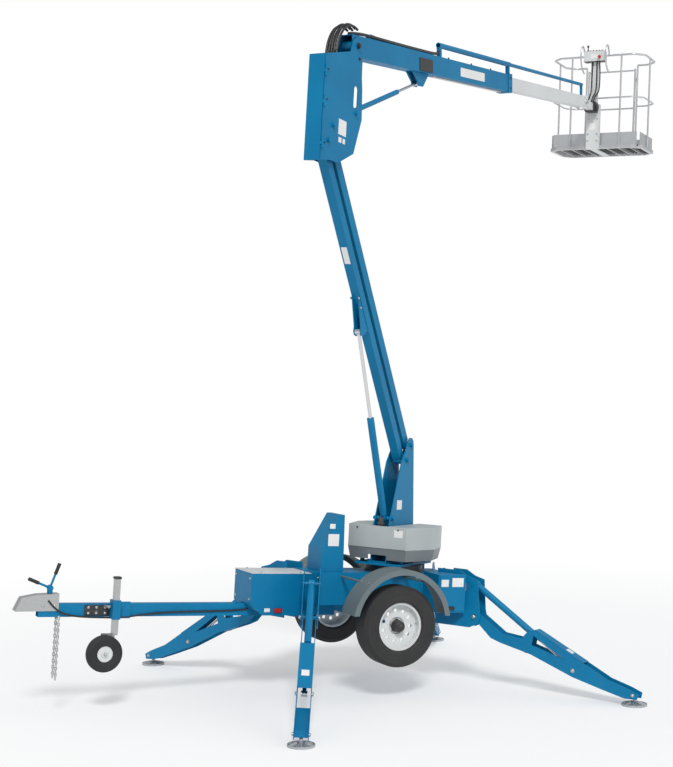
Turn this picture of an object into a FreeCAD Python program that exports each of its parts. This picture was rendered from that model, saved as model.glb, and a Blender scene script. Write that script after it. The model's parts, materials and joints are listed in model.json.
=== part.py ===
"""Trailer-mounted boom lift: a parametric FreeCAD document, one solid body per real piece.

Frames used below, all in millimetres:
  machine  origin under the slew axis, +X to the trailer's rear, +Y to its right-hand side, +Z up.
           The axle stands at axle_height in it; the feet may hold it nose-up by nose_up degrees.
  turn     the machine frame turned about the slew axis, +X along the boom.
  links    each arm, cylinder and leg is drawn along its own +X from its own pivot.
"""
import FreeCAD, Part
import math
import os
import re

Vector = FreeCAD.Vector
Rotation = FreeCAD.Rotation
Placement = FreeCAD.Placement

SIZES = {
    # stance
    "nose_up": 3.54, "slew_rest": 37.2, "axle_height": 608, "axle_ahead": 284,
    # running gear
    "track": 1250, "tyre_radius": 330, "tyre_width": 200, "tyre_corner": 28, "tyre_shoulder": 14, "rim_radius": 195,
    "rim_width": 150, "rim_lip": 12, "rim_hole_pitch": 125, "rim_hole_radius": 15, "hub_bore": 30.3, "axle_square": 60, "spindle_radius": 30,
    "fender_radius": 445, "fender_width": 235, "fender_wall": 5, "fender_lip": 45, "fender_drop": 700,
    # tongue and spine
    "tongue_start": -3092, "tongue_width": 75, "tongue_depth": 101.7, "tongue_low": 612, "tongue_wall": 5,
    "spine_front": -860, "spine_rear": 480, "spine_half": 185, "spine_low": 714, "spine_top": 985,
    "spine_wall": 6, "seat_gap": 0.3,
    "box_front": -1392, "box_low": 632, "box_top": 972, "box_chin": 720, "box_chin_run": 107, "sheet_wall": 3,
    "battery_gap": 8, "battery_height": 250, "cabinet_gap": 10,
    "cabinet_front": 200, "cabinet_rear": 465, "cabinet_out": 450, "cabinet_low": 681, "cabinet_top": 1001,
    "rest_top": 1463, "rest_front": -760, "rest_rear": -545, "rest_half": 130, "rest_knee": 1178,
    "rest_wall": 6, "rest_cap": 46,
    # coupler and jack
    "coupler_nose": -3272, "coupler_rear": -2936, "coupler_half": 48, "coupler_low": 660, "coupler_top": 793,
    "ball_radius": 26, "ball_x": -3225, "handle_x": -3001, "handle_top": 833,
    "jack_x": -2495, "jack_y": -98, "jack_square": 46, "jack_top": 915, "jack_foot": 490, "jack_play": 1,
    "sleeve_wall": 8, "sleeve_low": 601, "sleeve_top": 750, "jockey_trail": 73, "jockey_height": 332,
    "jockey_radius": 144, "jockey_width": 84, "jockey_rim": 62, "jockey_pin": 10, "fork_wall": 6,
    "chain_x": -2930, "chain_y": 42, "chain_low": 60, "chain_radius": 8,
    # turntable
    "ring_radius": 250, "ring_bore": 170, "ring_height": 65, "deck_thick": 20, "deck_half_b": 330,
    "deck_half_s": 210, "cover_low": 1100, "cover_top": 1385, "cover_fold": 1197, "cover_wall": 4,
    "cover_front": 360, "cover_front_half": 270, "cover_side": 20, "cover_side_half": 370,
    "cover_back": 320, "cover_back_half": 300, "cover_slot": 86, "riser_slot_front": 345,
    "riser_half": 65, "riser_wall": 10, "pin_radius": 18, "pin_play": 0.4,
    # lower arms
    "arm_foot_b": -8, "arm_foot_z": 1945, "link_foot_b": 60, "link_foot_z": 2073, "arm_length": 3000,
    "arm_angle": 126, "arm_width": 76, "arm_depth": 76, "link_depth": 88, "arm_wall": 5,
    "lift_base_b": -243, "lift_base_z": 1446, "lift_eye_x": 1380, "lift_eye_z": 135,
    "lift_barrel_length": 920, "lift_barrel_radius": 30, "lift_rod_radius": 15, "lift_rod_length": 1000,
    "eye_half": 24, "eye_gap": 0.8, "ear_wall": 8,
    # elbow
    "elbow_half": 71, "elbow_wall": 5, "elbow_front": -105, "elbow_low": -170, "elbow_high": 640,
    "boom_pivot_b": 412, "boom_pivot_z": 828, "door_gap": 1.5, "hinge_radius": 8, "hinge_length": 80,
    # upper boom
    "boom_angle": 8.7, "boom_length": 3500, "boom_width": 116, "boom_depth": 170, "boom_wall": 5,
    "boom_root": 70, "boom_base_b": 440, "boom_base_z": 300, "boom_eye_x": 1290, "boom_eye_z": -175,
    "boom_barrel_length": 960, "boom_barrel_radius": 21, "boom_rod_radius": 12, "boom_rod_length": 1000,
    "boom_eye_radius": 22, "ext_length": 3370, "ext_overlap": 850, "ext_width": 92, "ext_depth": 130,
    "ext_wall": 5, "pad_length": 60, "slide_gap": 0.5,
    # platform
    "platform_level": 2.8, "platform_pivot": 3320, "floor_drop": 424, "floor_near": 510, "floor_deep": 670,
    "floor_wide": 1140, "floor_thick": 40, "rail_height": 1060, "rail_radius": 12, "post_radius": 10.5, "rail_corner": 110, "rail_bend": 60, "floor_ring": 40,
    "mid_rail": 560, "toe_height": 150, "toe_wall": 3, "shelf_thick": 12, "shelf_half": 40, "gate_half": 300, "gate_gap": 6, "post_half": 75,
    # outriggers
    "foot_front_x": -1547, "foot_rear_x": 1381, "foot_y": 1630, "leg_pivot_out": 450,
    "leg_front_x": -981, "leg_rear_x": 597, "leg_pivot_z": 652, "leg_length": 1493, "leg_half": 56,
    "leg_wall": 6, "leg_pin_radius": 15, "leg_base_back": 26, "leg_base_up": 270, "leg_eye_x": 965,
    "leg_eye_z": -32, "leg_barrel_length": 640, "leg_barrel_radius": 28, "leg_rod_radius": 16,
    "leg_rod_length": 560, "foot_radius": 102, "foot_height": 75, "ball_stem": 20, "bracket_gap": 5,
}

doc = FreeCAD.newDocument("boom_lift")
sheet = doc.addObject("Spreadsheet::Sheet", "Size")
for row, (alias, number) in enumerate(SIZES.items(), start=1):
    sheet.set(f"A{row}", alias)
    sheet.set(f"B{row}", str(number))
    sheet.setAlias(f"B{row}", alias)
doc.recompute()


class Cells:
    """The sheet's numbers as plain attributes."""

    def __getattr__(self, alias):
        return float(sheet.get(alias))


d = Cells()
nodes = {}


def bind(item, prop, formula):
    """Bind a property to a formula of sheet aliases."""
    text = str(formula)
    item.setExpression(prop, re.sub(r"[a-z][a-z_]+", lambda word: "Size." + word.group(0), text))


def block(name, corner, size):
    """A box from its low corner and its three lengths, each a formula."""
    item = doc.addObject("Part::Box", name)
    for prop, formula in zip(("Length", "Width", "Height"), size):
        bind(item, prop, formula)
    for axis, formula in zip("xyz", corner):
        bind(item, f"Placement.Base.{axis}", formula)
    return item


def bar(name, start, radius, length, axis="z"):
    """A cylinder from its start point along +x, +y or +z."""
    item = doc.addObject("Part::Cylinder", name)
    bind(item, "Radius", radius)
    bind(item, "Height", length)
    turn = {"x": Rotation(Vector(0, 1, 0), 90), "y": Rotation(Vector(1, 0, 0), -90), "z": Rotation()}[axis]
    item.Placement = Placement(Vector(), turn)
    for letter, formula in zip("xyz", start):
        bind(item, f"Placement.Base.{letter}", formula)
    return item


def plate(name, plane, loops, thickness, offset=0, symmetric=True):
    """A flat body: closed outlines drawn on an origin plane and padded across it.

    A loop is a list of corners or, for a round hole, a tuple (u, v, radius).
    The offset is measured along +Y for XZ, +Z for XY and +X for YZ.
    """
    body = doc.addObject("PartDesign::Body", name)
    sketch = body.newObject("Sketcher::SketchObject", name + "_outline")
    support = [item for item in body.Origin.OriginFeatures if item.Role == plane + "_Plane"][0]
    sketch.AttachmentSupport = [(support, "")]
    sketch.MapMode = "FlatFace"
    side = -1 if plane == "XZ" else 1
    bind(sketch, ".AttachmentOffset.Base.z", f"{side} * ({offset})")
    for loop in loops:
        if isinstance(loop, tuple):
            sketch.addGeometry(Part.Circle(Vector(loop[0], loop[1], 0), Vector(0, 0, 1), loop[2]), False)
            continue
        for (u1, v1), (u2, v2) in zip(loop, loop[1:] + loop[:1]):
            sketch.addGeometry(Part.LineSegment(Vector(u1, v1, 0), Vector(u2, v2, 0)), False)
    pad = body.newObject("PartDesign::Pad", name + "_pad")
    pad.Profile = sketch
    bind(pad, "Length", thickness)
    if symmetric:
        pad.SideType = "Symmetric"
    return body


def join(name, items):
    """One solid from pieces that meet."""
    fuse = doc.addObject("Part::MultiFuse", name)
    fuse.Shapes = items
    fuse.Refine = True
    return fuse


def cut(name, base, tool):
    """The base with the tool taken away."""
    item = doc.addObject("Part::Cut", name)
    item.Base = base
    item.Tool = tool
    return item


def gather(name, items):
    """Separate solids that share a node."""
    group = doc.addObject("Part::Compound", name)
    group.Links = items
    return group


def node(label, item, frame):
    """Name a finished piece and stand it in its frame."""
    item.Label = label
    nodes[label] = (item, frame)
    return item


def tube(name, start, length, width, depth, wall):
    """A rectangular tube along +X, centred on the X axis and open at both ends."""
    outer = block(name + "_outer", (start, f"-({width}) / 2", f"-({depth}) / 2"), (length, width, depth))
    inner = block(name + "_bore", (f"{start} - 1", f"-({width}) / 2 + {wall}", f"-({depth}) / 2 + {wall}"),
                  (f"{length} + 2", f"{width} - 2 * {wall}", f"{depth} - 2 * {wall}"))
    return cut(name, outer, inner)


def shift(x=0, y=0, z=0):
    return Placement(Vector(x, y, z), Rotation())


def pitch_up(angle):
    """Turn +X upwards by an angle."""
    return Placement(Vector(), Rotation(Vector(0, 1, 0), -angle))


def swing(angle):
    """Turn about the upright axis."""
    return Placement(Vector(), Rotation(Vector(0, 0, 1), angle))


def pointed(base, tip):
    """The frame at base whose +X points at tip; both lie in the XZ plane."""
    run = tip - base
    return Placement(base, Rotation()) * pitch_up(math.degrees(math.atan2(run.z, run.x)))


# ---------------------------------------------------------------- frames at rest
MACHINE = shift(-d.axle_ahead, 0, d.axle_height) * Placement(Vector(), Rotation(Vector(0, 1, 0), d.nose_up))
MACHINE = MACHINE * shift(d.axle_ahead, 0, -d.axle_height)
TURN = MACHINE * swing(d.slew_rest)
ARM_FOOT = Vector(d.arm_foot_b, 0, d.arm_foot_z)
LINK_FOOT = Vector(d.link_foot_b, 0, d.link_foot_z)
ARM = TURN * Placement(ARM_FOOT, Rotation()) * pitch_up(d.arm_angle)
LINK = TURN * Placement(LINK_FOOT, Rotation()) * pitch_up(d.arm_angle)
arm_reach = Vector(math.cos(math.radians(d.arm_angle)), 0, math.sin(math.radians(d.arm_angle))) * d.arm_length
ELBOW_IN_TURN = Placement(ARM_FOOT + arm_reach, Rotation())
ELBOW = TURN * ELBOW_IN_TURN
BOOM_IN_ELBOW = shift(d.boom_pivot_b, 0, d.boom_pivot_z) * pitch_up(d.boom_angle)
BOOM = ELBOW * BOOM_IN_ELBOW
EXTENSION = BOOM * shift(d.boom_length - d.ext_overlap)
PLATFORM = EXTENSION * shift(d.platform_pivot) * pitch_up(d.platform_level - d.boom_angle)

lift_base = Vector(d.lift_base_b, 0, d.lift_base_z)
lift_eye = (TURN.inverse() * ARM).multVec(Vector(d.lift_eye_x, 0, d.lift_eye_z))
LIFT = TURN * pointed(lift_base, lift_eye)
lift_span = (lift_eye - lift_base).Length
boom_base = Vector(d.boom_base_b, 0, d.boom_base_z)
boom_eye = BOOM_IN_ELBOW.multVec(Vector(d.boom_eye_x, 0, d.boom_eye_z))
BOOM_RAM = ELBOW * pointed(boom_base, boom_eye)
boom_span = (boom_eye - boom_base).Length


def leg_frame(side_x, side_y):
    """The leg's frame: its pivot, its plan direction and the drop that puts its foot on the ground."""
    pivot_x = d.leg_rear_x if side_x > 0 else d.leg_front_x
    foot_x = d.foot_rear_x if side_x > 0 else d.foot_front_x
    pivot = Vector(pivot_x, side_y * d.leg_pivot_out, d.leg_pivot_z)
    plan = math.degrees(math.atan2(side_y * (d.foot_y - d.leg_pivot_out), foot_x - pivot_x))
    tilt = math.radians(d.nose_up)
    along = math.cos(math.radians(plan)) * math.sin(tilt)
    height = MACHINE.multVec(pivot).z - d.foot_height
    slant = math.hypot(along, math.cos(tilt))
    drop = math.degrees(math.asin(height / (d.leg_length * slant)) - math.atan2(along, math.cos(tilt)))
    return MACHINE * Placement(pivot, Rotation()) * swing(plan) * pitch_up(-drop), drop, plan


LEGS = {
    "front_left": (-1, -1), "front_right": (-1, 1), "rear_left": (1, -1), "rear_right": (1, 1),
}


# ---------------------------------------------------------------- chassis
def chassis_frame():
    """Box-section spine with a bulkhead at each end of the slew ring."""
    spine = tube("spine", "spine_front", "spine_rear - spine_front", "2 * spine_half",
                 "spine_top - spine_low", "spine_wall")
    return spine


def spine_frame():
    return MACHINE * shift(0, 0, (d.spine_low + d.spine_top) / 2)


def tongue():
    """Drawbar tube, the jack's clamp housing on its near side and the square sleeve round the jack."""
    bar_tube = tube("drawbar", "tongue_start", "spine_front + 300 - tongue_start", "tongue_width",
                    "tongue_depth", "tongue_wall")
    mid = "(tongue_low + tongue_depth / 2)"
    side = "(jack_square / 2 + jack_play)"
    outer = block("sleeve_outer", (f"jack_x - {side} - sleeve_wall", f"jack_y - {side} - sleeve_wall",
                                   f"sleeve_low - {mid}"),
                  (f"2 * ({side} + sleeve_wall)", f"-tongue_width / 2 - jack_y + {side} + sleeve_wall",
                   "sleeve_top - sleeve_low"))
    bore = block("sleeve_bore", (f"jack_x - {side}", f"jack_y - {side}", f"sleeve_low - {mid} - 1"),
                 (f"2 * {side}", f"2 * {side}", "sleeve_top - sleeve_low + 2"))
    sleeve = cut("jack_sleeve", outer, bore)
    cheek = block("clamp_cheek", (f"jack_x + {side}", "-tongue_width / 2 - 24", f"sleeve_low - {mid}"),
                  ("108", "24", "sleeve_top - sleeve_low - 20"))
    return join("tongue_joined", [bar_tube, sleeve, cheek])


def front_box():
    """Sheet-metal hood over the drawbar, with a sloping chin and a flat lid."""
    front, chin = d.box_front, d.box_front + d.box_chin_run
    back = d.spine_front - d.seat_gap
    outline = [(front, d.box_chin), (chin, d.box_low), (back, d.box_low), (back, d.box_top), (front, d.box_top)]
    wall = d.sheet_wall
    inside = [(front + wall, d.box_chin + 1), (chin + wall, d.box_low - 5), (back - wall, d.box_low - 5),
              (back - wall, d.box_top - wall), (front + wall, d.box_top - wall)]
    shell = plate("hood", "XZ", [outline], "2 * spine_half")
    hollow = plate("hood_hollow", "XZ", [inside], "2 * (spine_half - sheet_wall)")
    passage = block("drawbar_passage", ("box_front - 5", "-tongue_width / 2 - 2", "box_low - 40"),
                    ("spine_front - box_front + 10", "tongue_width + 4", "tongue_low + tongue_depth + 2 - box_low + 40"))
    return cut("front_box_shell", cut("hood_open", shell, hollow), passage)


def boom_rest():
    """Folded upright: a sloping front plate between two side plates, open to the turntable."""
    outline = [(d.rest_front, d.spine_top + d.seat_gap), (d.rest_rear, d.spine_top + d.seat_gap),
               (d.rest_rear - 12, d.rest_top), (d.rest_rear - 12 - d.rest_cap, d.rest_top),
               (d.rest_front, d.rest_knee)]
    wall = d.rest_wall
    inside = [(d.rest_front + wall, d.spine_top - 5), (d.rest_rear + 5, d.spine_top - 5),
              (d.rest_rear + 5, d.rest_top - wall), (d.rest_rear - 12 - d.rest_cap + wall, d.rest_top - wall),
              (d.rest_front + wall, d.rest_knee - 2)]
    body = plate("rest_body", "XZ", [outline], "2 * rest_half")
    hollow = plate("rest_hollow", "XZ", [inside], "2 * (rest_half - rest_wall)")
    return cut("boom_rest_fold", body, hollow)


def coupler():
    """Ball coupler: a pressed hood over the drawbar's nose with a round socket underneath."""
    nose, rear = d.coupler_nose, d.coupler_rear
    outline = [(nose, d.coupler_low + 4), (nose + 45, d.coupler_top - 32), (nose + 170, d.coupler_top - 8),
               (rear, d.coupler_top), (rear, d.coupler_low), (nose, d.coupler_low - 4)]
    body = plate("coupler_body", "XZ", [outline], "2 * coupler_half")
    hollow = block("coupler_hollow", ("tongue_start - 6", "-tongue_width / 2 - 0.5", "coupler_low - 10"),
                   ("coupler_rear - tongue_start + 12", "tongue_width + 1", "tongue_low + tongue_depth - coupler_low + 10.3"))
    socket = doc.addObject("Part::Sphere", "ball_socket")
    bind(socket, "Radius", "ball_radius")
    bind(socket, "Placement.Base.x", "ball_x")
    bind(socket, "Placement.Base.z", "coupler_low + 14")
    throat = bar("ball_throat", ("ball_x", 0, "coupler_low - 10"), "ball_radius", 24)
    return cut("coupler_shell", body, join("coupler_hollows", [hollow, socket, throat]))


def coupler_handle():
    """Clamp screw with two turning arms."""
    stem = bar("handle_stem", ("handle_x", 0, "coupler_top - 1.7"), 22, "handle_top - coupler_top + 4")
    hub = bar("handle_hub", ("handle_x", -24, "handle_top"), 22, 48, "y")
    arms = [stem, hub]
    for name, angle, reach in (("left", 158, 180), ("right", 71, 195)):
        arm = doc.addObject("Part::Cylinder", "handle_arm_" + name)
        arm.Radius = 9
        arm.Height = reach
        arm.Placement = shift(d.handle_x, 0, d.handle_top) * pitch_up(angle) * Placement(
            Vector(), Rotation(Vector(0, 1, 0), 90))
        arms.append(arm)
    return join("coupler_handle_joined", arms)


def safety_chains():
    """Two straight hanging strands, one from each side of the drawbar."""
    strands = []
    for name, side in (("left", -1), ("right", 1)):
        strands.append(bar("chain_" + name, ("chain_x", f"{side} * chain_y", "chain_low"), "chain_radius",
                           "tongue_low - chain_low - seat_gap"))
    return gather("safety_chains_pair", strands)


def cabinet_plan(side_y, inset):
    """Plan of a cabinet, its rear inner corner cut back along the rear outrigger's bracket."""
    _frame, _drop, plan = leg_frame(1, side_y)
    turn = math.radians(abs(plan))
    reach = d.leg_half + d.bracket_gap + d.ear_wall + d.cabinet_gap + inset
    front, rear = d.cabinet_front + inset, d.cabinet_rear - inset
    outside, inside = d.cabinet_out - inset, d.spine_half + d.seat_gap + inset
    edge_x = d.leg_rear_x - reach * math.sin(turn)
    edge_y = d.leg_pivot_out + reach * math.cos(turn)
    slope = math.cos(turn) / math.sin(turn)
    corners = [(front, outside), (rear, outside), (rear, edge_y - (edge_x - rear) / slope),
               (edge_x - (edge_y - inside) * slope, inside), (front, inside)]
    return [(x, side_y * y) for x, y in corners]


def cabinets():
    """A closed sheet-metal cabinet on each side of the spine."""
    cases = []
    middle = "(cabinet_low + cabinet_top) / 2"
    for name, side in (("left", -1), ("right", 1)):
        outer = plate(f"cabinet_{name}_outer", "XY", [cabinet_plan(side, 0)], "cabinet_top - cabinet_low", middle)
        inner = plate(f"cabinet_{name}_inner", "XY", [cabinet_plan(side, d.sheet_wall)],
                      "cabinet_top - cabinet_low - 2 * sheet_wall", middle)
        cases.append(cut(f"cabinet_{name}", outer, inner))
    return gather("cabinets_pair", cases)


def batteries():
    """A plain block for the batteries in each cabinet."""
    packs = []
    for name, side in (("left", -1), ("right", 1)):
        packs.append(plate(f"battery_{name}", "XY", [cabinet_plan(side, d.sheet_wall + d.battery_gap)],
                           "battery_height", "cabinet_low + sheet_wall + seat_gap + battery_height / 2"))
    return gather("batteries_pair", packs)


def axle():
    """Square beam under the spine on two seats, with a round spindle at each end."""
    half = "(track / 2 - rim_width / 2 - 12)"
    beam = block("axle_beam", ("-axle_ahead - axle_square / 2", f"-{half}", "axle_height - axle_square / 2"),
                 ("axle_square", f"2 * {half}", "axle_square"))
    spindle = bar("axle_spindle", ("-axle_ahead", "-track / 2 - 40", "axle_height"), "spindle_radius",
                  "track + 80", "y")
    seats = []
    for name, side in (("left", "-spine_half + 10"), ("right", "spine_half - 70")):
        seats.append(block("axle_seat_" + name, ("-axle_ahead - 70", side, "axle_height + axle_square / 2"),
                           ("140", "60", "spine_low - seat_gap - axle_height - axle_square / 2")))
    return join("axle_joined", [beam, spindle] + seats)


def fenders():
    """Rounded mudguards, each hung from the spine by two round stays."""
    guards = []
    for side in (-1, 1):
        name = "left" if side < 0 else "right"
        centre = f"{side} * (track / 2) - fender_width / 2"
        outer = bar(f"fender_{name}_outer", ("-axle_ahead", centre, "axle_height + 20"), "fender_radius",
                    "fender_width", "y")
        bore = bar(f"fender_{name}_bore", ("-axle_ahead", f"{centre} - 1", "axle_height + 20"),
                   "fender_radius - fender_wall", "fender_width + 2", "y")
        arch = cut(f"fender_{name}_arch", outer, bore)
        lip_y = f"{side} * (track / 2 + fender_width / 2) - {'0' if side < 0 else 'fender_wall'}"
        lip_outer = bar(f"fender_{name}_lip_outer", ("-axle_ahead", lip_y, "axle_height + 20"), "fender_radius",
                        "fender_wall", "y")
        lip_bore = bar(f"fender_{name}_lip_bore", ("-axle_ahead", f"{lip_y} - 1", "axle_height + 20"),
                       "fender_radius - fender_lip", "fender_wall + 2", "y")
        lip = cut(f"fender_{name}_lip", lip_outer, lip_bore)
        whole = join(f"fender_{name}_whole", [arch, lip])
        below = block(f"fender_{name}_below", ("-axle_ahead - fender_radius - 5", f"{centre} - 5", "0"),
                      ("2 * fender_radius + 10", "fender_width + 10", "fender_drop"))
        guard = cut(f"fender_{name}_guard", whole, below)
        stays = []
        for place, step in (("front", -300), ("rear", 300)):
            start = "-track / 2 + fender_width / 2 - 20" if side < 0 else "spine_half + seat_gap"
            run = "track / 2 - fender_width / 2 - spine_half - seat_gap + 20"
            stays.append(bar(f"fender_{name}_stay_{place}", (f"-axle_ahead + {step}", start, "axle_height + 345"), 10, run, "y"))
        guards.append(join(f"fender_{name}", [guard] + stays))
    return gather("fenders_pair", guards)


def slew_bearing():
    """Fixed ring of the slewing bearing on the spine."""
    outer = bar("slew_outer", (0, 0, "spine_top + seat_gap"), "ring_radius", "ring_height")
    bore = bar("slew_bore", (0, 0, "spine_top"), "ring_bore", "ring_height + 2")
    return cut("slew_ring", outer, bore)


def bracket_pins(label, frame_in_machine):
    """Two ears in the leg's plane, cut off at the spine, with the leg's pin and the cylinder's pin."""
    ears = []
    outline = [(-420, -95), (-40, -95), (35, -60), (60, 0), (45, 60), (20, 310), (-70, 335), (-150, 380), (-420, 380)]
    inner = d.leg_half + d.bracket_gap
    for side in (-1, 1):
        ears.append(plate(f"ear_{label}_{'left' if side < 0 else 'right'}", "XZ", [outline], "ear_wall",
                          f"{side} * (leg_half + bracket_gap + ear_wall / 2)"))
    span = "2 * (leg_half + bracket_gap + ear_wall + 6)"
    start = "-(leg_half + bracket_gap + ear_wall + 6)"
    pins = [bar(f"leg_pin_{label}", (0, start, 0), "leg_pin_radius", span, "y"),
            bar(f"ram_pin_{label}", ("-leg_base_back", start, "leg_base_up"), "leg_pin_radius", span, "y")]
    web = block(f"ear_web_{label}", (-330, f"-(leg_half + bracket_gap + ear_wall / 2)", -95),
                (8, "2 * (leg_half + bracket_gap + ear_wall / 2)", 475))
    bracket = join(f"bracket_{label}_whole", ears + pins + [web])
    bracket.Placement = frame_in_machine
    keep = block(f"bracket_{label}_keep", ("-3000", 0, 0), (6000, 2000, 3000))
    side_y = 1 if frame_in_machine.Base.y > 0 else -1
    keep.Placement = Placement()
    bind(keep, "Placement.Base.y", "spine_half + seat_gap" if side_y > 0 else "-spine_half - seat_gap - 2000")
    common = doc.addObject("Part::Common", f"bracket_{label}")
    common.Base = bracket
    common.Tool = keep
    return common


def outrigger_brackets():
    """The four outrigger brackets on the sides of the spine."""
    parts = []
    for label, (side_x, side_y) in LEGS.items():
        _frame, _drop, plan = leg_frame(side_x, side_y)
        pivot_x = d.leg_rear_x if side_x > 0 else d.leg_front_x
        pivot = Vector(pivot_x, side_y * d.leg_pivot_out, d.leg_pivot_z)
        parts.append(bracket_pins(label, Placement(pivot, Rotation()) * swing(plan)))
    return gather("outrigger_brackets_all", parts)


# ---------------------------------------------------------------- wheels
def turned(name, loops):
    """A wheel part turned about its axle: profiles in (radius, width) revolved about Y."""
    item = doc.addObject("Part::Feature", name)
    faces = []
    for loop in loops:
        corners = [Vector(radius, across, 0) for radius, across in loop]
        faces.append(Part.Face(Part.makePolygon(corners + corners[:1])).revolve(Vector(), Vector(0, 1, 0), 360))
    shape = faces[0]
    for extra in faces[1:]:
        shape = shape.fuse(extra)
    item.Shape = shape.removeSplitter() if len(faces) > 1 else shape
    return item


def tyre_loop():
    half, corner, seat = d.tyre_width / 2, d.tyre_corner, d.rim_radius - d.rim_lip + d.seat_gap
    bead = d.rim_width / 2 - d.rim_lip - d.seat_gap
    rest, shoulder = d.rim_radius + d.seat_gap, d.tyre_shoulder
    return [(seat, -bead), (rest, -bead), (rest, -half + shoulder), (rest + shoulder, -half), (d.tyre_radius - corner, -half), (d.tyre_radius, -half + corner),
            (d.tyre_radius, half - corner), (d.tyre_radius - corner, half), (rest + shoulder, half),
            (rest, half - shoulder), (rest, bead), (seat, bead)]


def rim_loops():
    half, edge, lip = d.rim_width / 2, d.rim_radius, d.rim_lip
    well = edge - lip
    barrel = [(well - 6, -half), (edge, -half), (edge, -half + 5), (well, -half + lip), (well, half - lip),
              (edge, half - 5), (edge, half), (well - 6, half)]
    disc = [(d.hub_bore, -4), (62, -4), (70, -16), (well - 4, -16), (well - 4, -8), (74, -8), (66, 4), (d.hub_bore, 4)]
    return [barrel, disc]


def rim(name):
    """Wheel disc and barrel with a ring of round holes."""
    item = turned("rim_turned_" + name, rim_loops())
    shape = item.Shape
    for step in range(11):
        turn = 2 * math.pi * step / 11
        spot = Vector(d.rim_hole_pitch * math.cos(turn), -30, d.rim_hole_pitch * math.sin(turn))
        shape = shape.cut(Part.makeCylinder(d.rim_hole_radius, 60, spot, Vector(0, 1, 0)))
    item.Shape = shape
    return item


def wheel_frame(side):
    return MACHINE * shift(-d.axle_ahead, side * d.track / 2, d.axle_height)


def jockey_parts():
    """Jack tube and the one-sided castor fork, which turns on a round kingpin under it."""
    upright = tube_upright()
    cheek_low = "jockey_height - 22"
    far_face = "(jockey_width / 2 + 5)"
    cheek = block("fork_cheek", ("-jockey_trail - 20", far_face, cheek_low),
                  ("jockey_trail + 40", "fork_wall", "jack_foot - seat_gap - 6 - jockey_height + 22"))
    crown = block("fork_crown", ("-22", "-22", "jack_foot - seat_gap - 12"),
                  ("44", f"22 + {far_face} + fork_wall", "6"))
    kingpin = bar("fork_kingpin", (0, 0, "jack_foot - seat_gap - 8"), "jockey_pin + 8", "8")
    pin = bar("fork_pin", ("-jockey_trail", "-(jockey_width / 2 + 9)", "jockey_height"), "jockey_pin",
              "jockey_width + 18 + fork_wall + 4", "y")
    fork = join("fork_joined", [cheek, crown, kingpin, pin])
    return upright, fork


def tube_upright():
    outer = block("jack_outer", ("-jack_square / 2", "-jack_square / 2", "jack_foot"),
                  ("jack_square", "jack_square", "jack_top - jack_foot"))
    inner = block("jack_inner", ("-jack_square / 2 + 4", "-jack_square / 2 + 4", "jack_foot + 6"),
                  ("jack_square - 8", "jack_square - 8", "jack_top - jack_foot"))
    return cut("jack_tube_cut", outer, inner)


def jockey_loops():
    half = d.jockey_width / 2
    tyre = [(d.jockey_rim + d.seat_gap, -half + 10), (d.jockey_radius - 28, -half), (d.jockey_radius, -half + 26),
            (d.jockey_radius, half - 26), (d.jockey_radius - 28, half), (d.jockey_rim + d.seat_gap, half - 10)]
    rim = [(d.jockey_pin + 0.4, -half + 6), (28, -half + 6), (34, -half + 14), (d.jockey_rim, -half + 14),
           (d.jockey_rim, half - 14), (34, half - 14), (28, half - 6), (d.jockey_pin + 0.4, half - 6)]
    return tyre, rim


# ---------------------------------------------------------------- turntable
def turntable_deck():
    """Turning plate with a hub inside the bearing ring."""
    low = "(spine_top + ring_height + 2 * seat_gap)"
    top = block("deck_plate", ("-deck_half_b", "-deck_half_s", low), ("2 * deck_half_b", "2 * deck_half_s", "deck_thick"))
    hub = bar("deck_hub", (0, 0, f"{low} - 40"), "ring_bore - 0.5", 40)
    posts = []
    for b_side in (-1, 1):
        for s_side in (-1, 1):
            posts.append(block(f"cover_post_{'back' if b_side > 0 else 'front'}_{'far' if s_side > 0 else 'near'}",
                               (f"{b_side} * 250 - 15", f"{s_side} * 180 - 15", f"{low} + deck_thick"),
                               (30, 30, "cover_top - cover_wall - seat_gap - spine_top - ring_height - 2 * seat_gap - deck_thick")))
    return join("deck_joined", [top, hub] + posts)


def turntable_cover():
    """Six-sided hood with a folded waist, open below, slotted for the riser and the arms."""
    def ring(grow):
        return [(-d.cover_front - grow, -d.cover_front_half - grow / 2), (d.cover_side, -d.cover_side_half - grow),
                (d.cover_back + grow, -d.cover_back_half - grow / 2), (d.cover_back + grow, d.cover_back_half + grow / 2),
                (d.cover_side, d.cover_side_half + grow), (-d.cover_front - grow, d.cover_front_half + grow / 2)]
    item = doc.addObject("Part::Feature", "cover_shell")

    def slab(outline, low, high):
        corners = [Vector(b, s, low) for b, s in outline]
        return Part.Face(Part.makePolygon(corners + corners[:1])).extrude(Vector(0, 0, high - low))

    def loft(first, low, second, high):
        wires = []
        for outline, level in ((first, low), (second, high)):
            corners = [Vector(b, s, level) for b, s in outline]
            wires.append(Part.makePolygon(corners + corners[:1]))
        return Part.makeLoft(wires, True, True)

    wall = d.cover_wall
    outer = slab(ring(0), d.cover_fold, d.cover_top).fuse(loft(ring(-25), d.cover_low, ring(0), d.cover_fold))
    inner = slab(ring(-wall), d.cover_fold, d.cover_top - wall).fuse(
        loft(ring(-25 - wall), d.cover_low - 0.01, ring(-wall), d.cover_fold))
    slot = Part.makeBox(900, 2 * d.cover_slot, 900, Vector(-d.riser_slot_front, -d.cover_slot, d.cover_low - 50))
    item.Shape = outer.cut(inner).cut(slot).removeSplitter()
    return item


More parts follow.
